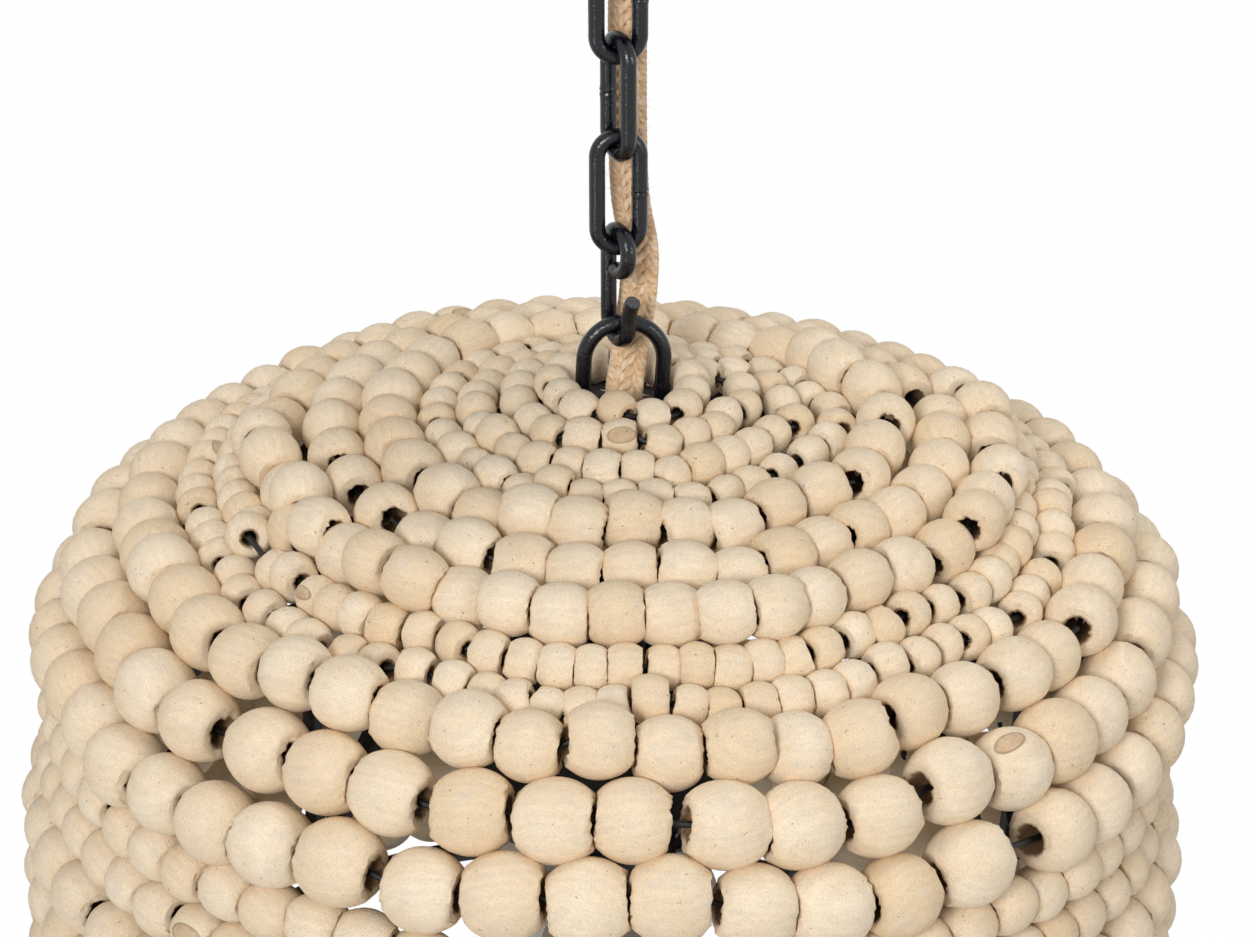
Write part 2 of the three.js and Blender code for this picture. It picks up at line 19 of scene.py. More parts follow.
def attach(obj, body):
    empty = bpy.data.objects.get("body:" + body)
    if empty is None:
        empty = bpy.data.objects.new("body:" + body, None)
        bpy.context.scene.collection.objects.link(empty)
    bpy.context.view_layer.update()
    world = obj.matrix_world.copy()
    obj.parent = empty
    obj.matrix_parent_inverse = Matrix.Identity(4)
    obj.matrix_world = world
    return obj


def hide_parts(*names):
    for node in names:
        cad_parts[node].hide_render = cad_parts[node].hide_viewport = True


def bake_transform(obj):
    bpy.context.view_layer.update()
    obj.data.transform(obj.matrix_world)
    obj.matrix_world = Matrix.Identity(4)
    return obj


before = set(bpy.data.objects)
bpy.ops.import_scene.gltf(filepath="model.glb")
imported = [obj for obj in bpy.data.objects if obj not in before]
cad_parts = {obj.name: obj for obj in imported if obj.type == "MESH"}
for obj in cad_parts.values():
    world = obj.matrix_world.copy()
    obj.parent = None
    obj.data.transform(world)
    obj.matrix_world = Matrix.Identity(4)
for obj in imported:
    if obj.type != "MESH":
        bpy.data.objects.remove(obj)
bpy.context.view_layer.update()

log = logging.getLogger("chandelier")

Points = np.ndarray
Faces = list
Shape = tuple[Points, Faces]
Made = list[bpy.types.Object]
Random = np.random.Generator

MM = 0.001
TURN = 2 * math.pi
SEAT_GAP = 0.3 * MM
AXIS_HOLE = 0.1 * MM
LINK_WIRE = 5 * MM
LINK_PITCH = 29.9 * MM
HANG_PIVOT = -59.1 * MM
HOOK_PIVOT = HANG_PIVOT - 4 * LINK_PITCH
SHADE_PIVOT = HOOK_PIVOT - LINK_PITCH
SHADE_LEAN_DEG = 2.5
CROWN_OFFSET = 2 * MM
CROWN_INNER = 10 * MM
CROWN_LOOP_HEIGHT = 28.7 * MM
CROWN_TOP = LINK_WIRE * 1.5 + SEAT_GAP
HUB_TOP = CROWN_TOP - CROWN_LOOP_HEIGHT
HUB_RADIUS = 15.6 * MM
HUB_HEIGHT = 13 * MM
FACE_TURN_DEG = 8
EDGE_TURN_DEG = 28
ASKEW = (0.31, 0.42, 0.85)


class Slot(Enum):
    """The record's material slots."""

    WOOD = "wood"
    BLACK = "black_iron"
    CHARCOAL = "charcoal_iron"
    ZINC = "zinc_steel"
    JUTE = "jute"
    PLASTIC = "black_plastic"
    GLASS = "frosted_glass"


def tint(code: str) -> tuple[float, float, float, float]:
    """A colour in linear light, from its six-figure display code.

    Args:
        code: Two hexadecimal figures each for red, green and blue.

    Returns:
        The colour, with full alpha.
    """
    parts = [int(code[k:k + 2], 16) / 255 for k in (0, 2, 4)]
    linear = [p / 12.92 if p <= 0.04045 else ((p + 0.055) / 1.055) ** 2.4 for p in parts]
    return (*linear, 1.0)


# Shader graphs


class Value:
    """A node socket in a sum. Each operator adds the Math node that it stands for."""

    def __init__(self, graph: "Graph", socket: bpy.types.NodeSocket) -> None:
        """Keep the graph and the socket."""
        self.graph = graph
        self.socket = socket

    def sum(self, operation: str, first: object, second: object = 0.0) -> "Value":
        """Add a Math node and give its result."""
        return self.graph.node("ShaderNodeMath", {"operation": operation}, {0: first, 1: second})

    def __add__(self, other: object) -> "Value":
        """self + other."""
        return self.sum("ADD", self, other)

    __radd__ = __add__

    def __sub__(self, other: object) -> "Value":
        """self - other."""
        return self.sum("SUBTRACT", self, other)

    def __rsub__(self, other: object) -> "Value":
        """other - self."""
        return self.sum("SUBTRACT", other, self)

    def __mul__(self, other: object) -> "Value":
        """self * other."""
        return self.sum("MULTIPLY", self, other)

    __rmul__ = __mul__

    def sine(self) -> "Value":
        """The sine of the value."""
        return self.sum("SINE", self)

    def step(self, low: float, high: float) -> "Value":
        """A smooth step.

        Args:
            low: Where it is 0.
            high: Where it is 1.

        Returns:
            The step.
        """
        ends = {1: min(low, high), 2: max(low, high), 3: float(low > high), 4: float(low <= high)}
        smooth = {"interpolation_type": "SMOOTHSTEP"}
        return self.graph.node("ShaderNodeMapRange", smooth, {0: self, **ends})


class Graph:
    """A node tree that is being built."""

    def __init__(self, tree: bpy.types.NodeTree) -> None:
        """Keep the tree."""
        self.tree = tree

    def node(self, kind: str, settings: dict | None = None, inputs: dict | None = None,
             output: int | str = 0) -> Value:
        """Add a node.

        Args:
            kind: The node's type.
            settings: Its properties, set first.
            inputs: A value, a colour's code or a link for each socket, by name or place.
            output: Which output to give back.

        Returns:
            The chosen output.
        """
        made = self.tree.nodes.new(kind)
        for name, value in (settings or {}).items():
            setattr(made, name, value)
        for name, value in (inputs or {}).items():
            if isinstance(value, Value):
                self.tree.links.new(value.socket, made.inputs[name])
            else:
                made.inputs[name].default_value = tint(value) if isinstance(value, str) else value
        return Value(self, made.outputs[output])

    def place(self) -> Value:
        """The place on the piece, in metres."""
        return self.node("ShaderNodeTexCoord", output="Object")

    def field(self, name: str, output: str = "Vector") -> Value:
        """What the mesh carries at each point under a name."""
        return self.node("ShaderNodeAttribute", {"attribute_name": name}, output=output)

    def parts(self, vector: Value) -> list[Value]:
        """The three numbers of a vector."""
        split = self.node("ShaderNodeSeparateXYZ", inputs={0: vector}).socket.node
        return [Value(self, output) for output in split.outputs]

    def joined(self, *numbers: object) -> Value:
        """The vector of three numbers."""
        return self.node("ShaderNodeCombineXYZ", inputs=dict(enumerate(numbers)))

    def vector(self, operation: str, first: object, second: object, output: int = 0) -> Value:
        """A Vector Math node's result."""
        inputs = {0: first, 1: second}
        return self.node("ShaderNodeVectorMath", {"operation": operation}, inputs, output)

    def length(self, vector: Value) -> Value:
        """How long a vector is."""
        return self.vector("LENGTH", vector, (0, 0, 0), 1)

    def noise(self, vector: Value, scale: float, detail: float = 2.0, rough: float = 0.5) -> Value:
        """Noise from 0 to 1, with so many features to a metre."""
        inputs = {"Vector": vector, "Scale": scale, "Detail": detail, "Roughness": rough}
        return self.node("ShaderNodeTexNoise", inputs=inputs)

    def mix(self, share: object, first: object, second: object) -> Value:
        """A colour between two, by how much of the second shows."""
        return self.node("ShaderNodeMix", {"data_type": "RGBA"}, {0: share, 6: first, 7: second}, 2)

    def shade(self, colour: Value, amount: Value) -> Value:
        """A colour made darker or lighter by a number that is 1 where nothing changes."""
        return self.vector("MULTIPLY", colour, self.joined(amount, amount, amount))

    def bump(self, height: Value, distance: float, strength: float = 1.0) -> Value:
        """A normal from a height of 0 to 1 over a distance in metres."""
        inputs = {"Strength": strength, "Distance": distance, "Height": height}
        return self.node("ShaderNodeBump", inputs=inputs, output="Normal")

    def surface(self, **inputs: object) -> Value:
        """The shader, from its sockets, with an underscore for each space in a name."""
        named = {name.replace("_", " "): value for name, value in inputs.items()}
        return self.node("ShaderNodeBsdfPrincipled", inputs=named)


def painted(name: str, paint: Callable[[Graph], Value]) -> bpy.types.Material:
    """A new material.

    Args:
        name: Its name.
        paint: What builds its shader in its graph.

    Returns:
        The material.
    """
    material = bpy.data.materials.new(name)
    material.use_nodes = True
    graph = Graph(material.node_tree)
    graph.tree.nodes.clear()
    output = graph.tree.nodes.new("ShaderNodeOutputMaterial")
    graph.tree.links.new(paint(graph).socket, output.inputs["Surface"])
    return material


# Finishes


@dataclass(frozen=True)
class Finish:
    """A finish, with its name and the record's slot that it belongs to."""

    name: str
    slot: Slot

    def material(self) -> bpy.types.Material:
        """The finish's material, made once."""
        return bpy.data.materials.get(self.name) or painted(self.name, self.paint)

    def paint(self, graph: Graph) -> Value:
        """The finish's shader, built in a graph."""
        raise NotImplementedError


@dataclass(frozen=True)
class BareWood(Finish):
    """Turned wood without varnish: creamy, with faint grain, pores, knots, a dusty nap and painted shade
    in its bore.
    """

    light: str = "f7e6cc"
    warm: str = "ebd2af"
    dusty: str = "e3d5c2"
    knot: str = "b08657"
    pore: str = "6e4f30"
    # Painted shade for the bore.
    bore_shade: str = "7d5c3a"
    nap: float = 0.42 * MM

    def paint(self, graph: Graph) -> Value:
        """The finish's shader.

        Args:
            graph: The new material's graph.

        Returns:
            The shader.
        """
        grain = graph.field("grain")
        across, side_a, side_b = graph.parts(graph.field("turning"))
        _, ring_a, ring_b = graph.parts(grain)
        fibre = graph.noise(graph.vector("MULTIPLY", grain, (90, 700, 700)), 1.0, 3.0, 0.6)
        cloud = graph.noise(grain, 75)
        speckle = graph.noise(grain, 1400, 2.0, 0.7)
        fuzz = graph.noise(grain, 2100, 2.0, 0.75)
        ring = (ring_a * 2100 + cloud * 9 + graph.noise(ring_b, 200) * 2).sine()

        tone = graph.field("tone", "Fac")
        base = graph.mix(tone.step(0.0, 1.0), self.light, self.warm)
        base = graph.mix(cloud.step(0.35, 0.75) * 0.55, base, self.warm)
        base = graph.mix(graph.noise(grain, 160, 3.0).step(0.5, 0.8) * 0.6, base, self.dusty)
        streak = 1.0 + (fibre - 0.5) * 0.2 + ring * 0.02
        base = graph.shade(base, streak + (fuzz - 0.5) * 0.62 + (speckle - 0.5) * 0.2)

        edge = graph.length(graph.field("knot")) + (cloud - 0.5) * 0.25
        patch = graph.noise(grain, 420, 3.0, 0.6)
        base = graph.mix(edge.step(1.02, 0.86) * (0.1 + patch * 0.8), base, self.knot)
        rim = edge.step(0.78, 0.94) * edge.step(1.08, 0.96)
        base = graph.mix(rim * cloud * 0.9, base, self.pore)

        pores = graph.noise(grain, 900, 1.0).step(0.745, 0.79)
        base = graph.mix(pores * 0.55, base, self.pore)
        worn = across.sum("ABSOLUTE", across).step(0.72, 0.9) * speckle.step(0.4, 0.7)
        base = graph.mix(worn * 0.25, base, self.knot)
        # Painted shade: the bore and the end face round it are darkened, as the hole's shade.
        bore = graph.length(graph.joined(0.0, side_a, side_b)).step(0.47, 0.36)
        base = graph.mix(bore * 0.9, base, self.bore_shade)

        lathe = (across * 120 + cloud * 4).sine()
        height = speckle * 0.5 + fuzz * 0.45 + fibre * 0.3 + lathe * 0.05 - pores * 0.5
        return graph.surface(Base_Color=base, Roughness=0.8 + speckle * 0.14,
                             Specular_IOR_Level=0.22, Normal=graph.bump(height, self.nap, 0.85))


@dataclass(frozen=True)
class Enamel(Finish):
    """Paint on iron: a dark coat with an uneven skin, with worn patches and dust in it."""

    coat: str = "0d0f17"
    worn: str = "0b0b0d"
    dust: str = "6d7078"
    gloss: float = 0.13
    skin: float = 0.3 * MM
    dusting: float = 0.3

    def paint(self, graph: Graph) -> Value:
        """The finish's shader.

        Args:
            graph: The new material's graph.

        Returns:
            The shader.
        """
        place = graph.place()
        lumps = graph.noise(place, 420)
        fine = graph.noise(place, 1000, 2.0, 0.6)
        specks = graph.noise(place, 1500, 1.0).step(0.7, 0.78)
        base = graph.mix(lumps.step(0.3, 0.8) * 0.3, self.coat, self.worn)
        base = graph.mix(specks * self.dusting, base, self.dust)
        height = lumps * 0.35 + fine * 0.65 + specks * 0.1
        return graph.surface(Base_Color=base, Roughness=self.gloss + lumps * 0.12 + specks * 0.2,
                             Specular_IOR_Level=0.42, Normal=graph.bump(height, self.skin, 0.8))


@dataclass(frozen=True)
class Yarn(Finish):
    """Jute yarn: golden-brown fibres twisted in each strand, some pale and some dark, with painted shade
    in the twist's grooves.
    """

    straw: str = "f8d8b2"
    pale: str = "fde8cd"
    dark: str = "dfb381"
    twist_pitch: float = 1.9 * MM
    fibre_depth: float = 0.2 * MM

    def paint(self, graph: Graph) -> Value:
        """The finish's shader.

        Args:
            graph: The new material's graph.

        Returns:
            The shader.
        """
        along, around, strand = graph.parts(graph.field("yarn"))
        fibre_at = graph.joined(along * 260 + around * 0.9, around * 5 + along * 500, strand * 7)
        fibre = graph.noise(fibre_at, 1.0, 3.0, 0.65)
        patch = graph.noise(graph.place(), 320)
        twist = (along * (TURN / self.twist_pitch) + around * TURN * 2 + fibre * 2.4).sine()
        base = graph.mix(fibre.step(0.35, 0.68), self.dark, self.straw)
        base = graph.mix(patch.step(0.45, 0.72) * 0.6, base, self.pale)
        # Painted shade and light: the colour is darker in the twist's grooves and lighter on its crests.
        base = graph.shade(base, 1.02 + twist * 0.1)
        bump = graph.bump(twist * 0.3 + fibre * 0.7, self.fibre_depth, 0.6)
        return graph.surface(Base_Color=base, Roughness=0.86 + fibre * 0.1, Normal=bump,
                             Specular_IOR_Level=0.25, Sheen_Weight=0.5, Sheen_Roughness=0.6)


@dataclass(frozen=True)
class Plain(Finish):
    """Two close colours in soft clouds, with a grain so fine that it only dulls the gloss.

    Clouds and grain are in features to a metre.
    """

    main: str
    other: str
    clouds: float
    cloud_detail: float
    other_share: float
    rough: float
    rougher: float
    grain: tuple[float, float, float] = (0, 0, 0)
    grain_detail: float = 1.0
    grain_depth: float = 0.0
    sockets: tuple = ()

    def paint(self, graph: Graph) -> Value:
        """The finish's shader.

        Args:
            graph: The new material's graph.

        Returns:
            The shader.
        """
        place = graph.place()
        cloud = graph.noise(place, self.clouds, self.cloud_detail)
        base = graph.mix(cloud.step(0.3, 0.8) * self.other_share, self.main, self.other)
        inputs = dict(self.sockets)
        if self.grain_depth:
            grain = graph.noise(graph.vector("MULTIPLY", place, self.grain), 1.0, self.grain_detail)
            inputs["Normal"] = graph.bump(grain, self.grain_depth, 0.5)
        return graph.surface(Base_Color=base, Roughness=self.rough + cloud * self.rougher, **inputs)


WOOD = BareWood("bare_turned_wood", Slot.WOOD)
BLACK = Enamel("black_enamel", Slot.BLACK)
CHARCOAL = Enamel("charcoal_coat", Slot.CHARCOAL, coat="161618", gloss=0.5, dusting=0.2)
WIRE = Enamel("black_annealed_wire", Slot.CHARCOAL, coat="181716", gloss=0.45, dusting=0.1)
JUTE = Yarn("jute_yarn", Slot.JUTE)
ZINC = Plain("zinc_plate", Slot.ZINC, "b9bab8", "8b8a84", 260, 3.0, 0.5, 0.3, 0.2,
             (3000, 3000, 200), 2.0, 0.05 * MM, (("Metallic", 0.95),))
RESIN = Plain("black_resin", Slot.PLASTIC, "1c1c1d", "2a2a2b", 120, 2.0, 0.5, 0.42, 0.1,
              (3000, 3000, 3000), 1.0, 0.03 * MM)
GLASS = Plain("frosted_lamp_glass", Slot.GLASS, "f1ede4", "e2ddd2", 1800, 2.0, 0.4, 0.3, 0.12,
              sockets=(("Subsurface_Weight", 0.25), ("Subsurface_Scale", 4 * MM),
                       ("Coat_Weight", 0.3), ("Coat_Roughness", 0.15)))


# Shapes


def unit(vectors: Points) -> Points:
    """The vectors at length 1."""
    return vectors / np.linalg.norm(vectors, axis=-1, keepdims=True)


def beside(line: Points) -> Points:
    """The direction to the left of a flat line, at each of its points."""
    heading = unit(np.gradient(line, axis=0))
    return np.column_stack([-heading[:, 1], heading[:, 0]])


def spline(points: list, per_span: int) -> Points:
    """A smooth line through points.

    Args:
        points: The points, in any number of dimensions.
        per_span: How many steps each span takes.

    Returns:
        The line's points, both ends included.
    """
    knots = np.array([points[0], *points, points[-1]], float)
    line = []
    for before, here, after, later in zip(knots, knots[1:], knots[2:], knots[3:]):
        leave, arrive = (after - before) / 2, (later - here) / 2
        cubed, squared = 2 * here - 2 * after + leave + arrive, 3 * after - 3 * here - 2 * leave - arrive
        for t in np.arange(per_span) / per_span:
            line.append(cubed * t ** 3 + squared * t ** 2 + leave * t + here)
    return np.array([*line, knots[-1]])


def lengths(line: Points) -> Points:
    """How far along a line each of its points is."""
    return np.concatenate([[0], np.cumsum(np.linalg.norm(np.diff(line, axis=0), axis=1))])


def respaced(line: Points, count: int) -> Points:
    """The same line with its points evenly spaced.

    Args:
        line: The line.
        count: How many points it gets.

    Returns:
        The new line.
    """
    run = lengths(line)
    wanted = np.linspace(0, run[-1], count)
    return np.column_stack([np.interp(wanted, run, values) for values in line.T])


def arc(middle: tuple, radius: float, start_deg: float, end_deg: float, steps: int) -> Points:
    """Points on an arc in a plane."""
    turn = np.radians(np.linspace(start_deg, end_deg, steps + 1))
    return np.column_stack([middle[0] + radius * np.cos(turn), middle[1] + radius * np.sin(turn)])


def round_section(sides: int, radius: float = 1.0) -> Points:
    """A circle about zero."""
    turn = np.arange(sides) / sides * TURN
    return np.column_stack([np.cos(turn), np.sin(turn)]) * radius


def flat_section(width: float, depth: float, corner: float) -> Points:
    """A rectangle with round corners, about its middle.

    Args:
        width: How wide it is.
        depth: How deep it is.
        corner: The corners' radius.

    Returns:
        Its outline.
    """
    places = [(1, 1, 0), (-1, 1, 90), (-1, -1, 180), (1, -1, 270)]
    return np.concatenate([
        arc((x * (width / 2 - corner), y * (depth / 2 - corner)), corner, start, start + 90, 2)
        for x, y, start in places])


def strip(rings: int, sides: int, closed: bool, capped: bool) -> Faces:
    """The faces that join rings of points, each to the next.

    Args:
        rings: How many rings there are.
        sides: How many points each has.
        closed: Whether the last ring joins the first.
        capped: Whether each end has a face.

    Returns:
        The faces.
    """
    faces = []
    for k in range(rings if closed else rings - 1):
        near, far = k * sides, (k + 1) % rings * sides
        for s in range(sides):
            t = (s + 1) % sides
            faces.append((near + s, near + t, far + t, far + s))
    if capped:
        faces.append(tuple(range(sides))[::-1])
        faces.append(tuple((rings - 1) * sides + s for s in range(sides)))
    return faces


def swept(line: Points, reference: tuple, section: Points, sizes: Points | float = 1.0,
          closed: bool = False) -> Shape:
    """A bar along a line.

    Args:
        line: The line's points.
        reference: What the section's first axis is square to.
        section: The section's points.
        sizes: How large the section is, for all or for each point.
        closed: Whether the bar joins its own start.

    Returns:
        The bar's points and faces.
    """
    if closed:
        along = unit(np.roll(line, -1, axis=0) - np.roll(line, 1, axis=0))
    else:
        along = unit(np.gradient(line, axis=0))
    first = unit(np.cross(reference, along))
    second = np.cross(along, first)
    ring = first[:, None] * section[None, :, :1] + second[:, None] * section[None, :, 1:]
    points = line[:, None] + ring * np.broadcast_to(sizes, len(line))[:, None, None]
    return points.reshape(-1, 3), strip(len(line), len(section), closed, not closed)


def upright(flat: Points, across: tuple[float, float], section: Points,
            sizes: Points | float = 1.0, closed: bool = False) -> Shape:
    """A bar along a line in an upright plane.

    Args:
        flat: The line, as pairs of place across and height.
        across: The plane's direction, as X and Y.
        section: The section's points.
        sizes: How large the section is, for all or for each point.
        closed: Whether the bar joins its own start.

    Returns:
        The bar's points and faces.
    """
    x, y = across
    line = np.column_stack([flat[:, 0] * x, flat[:, 0] * y, flat[:, 1]])
    return swept(line, (abs(y), abs(x), 0), section, sizes, closed)


def turned(profile: Points | list, steps: int) -> Shape:
    """A shape turned about Z, from a profile that closes on itself.

    Args:
        profile: Pairs of radius and height, from the bottom outwards and up.
        steps: How many steps the round has.

    Returns:
        The shape's points and faces.
    """
    radius, height = np.array(profile, float)[::-1].T
    turn = (np.arange(steps) / steps * TURN)[:, None]
    x, y = np.cos(turn) * radius, np.sin(turn) * radius
    points = np.stack([x, y, np.broadcast_to(height, x.shape)], axis=2)
    return points.reshape(-1, 3), strip(steps, len(profile), True, False)


def box_of(inner: float, outer: float, low: float, high: float) -> list:
    """The corners of a plain ring's profile."""
    return [(inner, low), (outer, low), (outer, high), (inner, high)]


def softened(corners: list, radius: float, steps: int = 3) -> Points:
    """A closed outline whose corners are rounded.

    Args:
        corners: The corners, in order.
        radius: The round's reach along each edge, where the edge is long enough.
        steps: How many steps each round has.

    Returns:
        The outline's points.
    """
    corners = np.array(corners, float)
    points = []
    for before, here, after in zip(np.roll(corners, 1, 0), corners, np.roll(corners, -1, 0)):
        ends = []
        for edge in (before - here, after - here):
            ends.append(here + unit(edge) * min(radius, np.linalg.norm(edge) * 0.45))
        for t in np.linspace(0, 1, steps + 1):
            points.append((1 - t) ** 2 * ends[0] + 2 * t * (1 - t) * here + t ** 2 * ends[1])
    return np.array(points)


def fluted(shape: Shape, flutes: int, depth_share: float, taper: Callable) -> Shape:
    """A turned shape with flutes in its side.

    Args:
        shape: The shape's points and faces.
        flutes: How many it has.
        depth_share: How deep they are, as a share of the radius.
        taper: How much of that each point has, by its radius.

    Returns:
        The shape.
    """
    points, faces = shape
    turn = np.arctan2(points[:, 1], points[:, 0])
    wave = np.clip(np.cos(turn * flutes), 0, 1)
    share = wave * depth_share * taper(np.hypot(points[:, 0], points[:, 1]))
    points[:, :2] *= (1 - share)[:, None]
    return points, faces


def wavering(count: int, size: float, rng: Random, waves: int = 7) -> Points:
    """Smooth random numbers round a ring, about zero.

    Args:
        count: How many there are.
        size: About how far they stray.
        rng: The random numbers.
        waves: How many waves are added up.

    Returns:
        The numbers.
    """
    turn = np.arange(count) / count * TURN
    phase = rng.uniform(0, TURN, (waves, 1))
    wave = np.sin(np.arange(1, waves + 1)[:, None] * turn + phase)
    return (wave * rng.uniform(0.3, 1, (waves, 1))).sum(0) * size / waves ** 0.5


def moved(points: Points, matrix: Matrix) -> Points:
    """The points after a matrix."""
    m = np.array(matrix)
    return points @ m[:3, :3].T + m[:3, 3]


def leaned() -> Matrix:
    """How the shade hangs.

    Returns:
        The way from the shade's own frame to the whole object's.
    """
    drop = CROWN_INNER - math.sqrt(CROWN_INNER ** 2 - CROWN_OFFSET ** 2)
    place = Matrix.Translation((CROWN_OFFSET, 0, SHADE_PIVOT + drop))
    return place @ Matrix.Rotation(math.radians(SHADE_LEAN_DEG), 4, "Y")


def turned_to(degrees: float) -> Matrix:
    """A turn about Z."""
    return Matrix.Rotation(math.radians(degrees), 4, "Z")


def in_shade(node: str) -> Points:
    """The points of one of the frame's nodes, in the shade's own frame."""
    points = np.array([v.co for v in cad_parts[node].data.vertices], float)
    return moved(points, leaned().inverted())


class Piece:
    """One piece's mesh, gathered part by part."""

    def __init__(self, name: str, finish: Finish) -> None:
        """Start an empty piece.

        Args:
            name: The piece's name.
            finish: Its finish.
        """
        self.name = name
        self.finish = finish
        self.points: list[Points] = []
        self.faces: Faces = []
        self.fields: dict[str, list[Points]] = {}
        self.count = 0

    def add(self, shape: Shape, matrix: Matrix | None = None, **fields: Points) -> "Piece":
        """Add a part.

        Args:
            shape: Its points and faces.
            matrix: Where it goes.
            fields: What it carries at each point, by name.

        Returns:
            The piece itself.
        """
        points, faces = shape
        self.points.append(points if matrix is None else moved(points, matrix))
        self.faces.extend(tuple(self.count + i for i in face) for face in faces)
        self.count += len(points)
        for name, values in fields.items():
            self.fields.setdefault(name, []).append(values)
        return self

    def lathe(self, corners: list, soft: float, steps: int, matrix: Matrix | None = None) -> "Piece":
        """Add a part that is turned from corners, once they are softened."""
        return self.add(turned(softened(corners, soft), steps), matrix)

    def make(self, *stands_for: str, sharp_deg: float = 40.0) -> bpy.types.Object:
        """Make the object.

        Args:
            stands_for: The frame's nodes that it replaces.
            sharp_deg: Edges that turn more than this stay sharp.

        Returns:
            The object, with its finish.
        """
        mesh = bpy.data.meshes.new(self.name)
        mesh.from_pydata(np.concatenate(self.points).tolist(), [], self.faces)
        for name, values in self.fields.items():
            flat = np.concatenate(values).astype(np.float32)
            kind, key = ("FLOAT", "value") if flat.ndim == 1 else ("FLOAT_VECTOR", "vector")
            mesh.attributes.new(name, kind, "POINT").data.foreach_set(key, flat.ravel())
        mesh.materials.append(self.finish.material())
        mesh.shade_smooth()
        mesh.set_sharp_from_angle(angle=math.radians(sharp_deg))
        mesh.update()
        made = bpy.data.objects.new(self.name, mesh)
        bpy.context.collection.objects.link(made)
        if stands_for:
            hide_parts(*stands_for)
        return made

    def ride(self, body: str, *stands_for: str, sharp_deg: float = 40.0) -> bpy.types.Object:
        """Make the object and let it move with a body.

        Args:
            body: The body.
            stands_for: The frame's nodes that it replaces.
            sharp_deg: Edges that turn more than this stay sharp.

        Returns:
            The object.
        """
        made = self.make(*stands_for, sharp_deg=sharp_deg)
        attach(made, body)
        return made


def dressed(node: str, finish: Finish, edge: float) -> bpy.types.Object:
    """A node of the frame that stays, with a better finish and softened edges.

    Args:
        node: The node's name.
        finish: Its finish.
        edge: How wide its edges are rounded.

    Returns:
        The node's object.
    """
    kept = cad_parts[node]
    for slot in kept.material_slots:
        slot.material = finish.material()
    bevel = kept.modifiers.new("edges", "BEVEL")
    bevel.width = edge
    bevel.segments = 2
    bevel.limit_method = "ANGLE"
    bevel.angle_limit = math.radians(35)
    return kept


# The view and the light


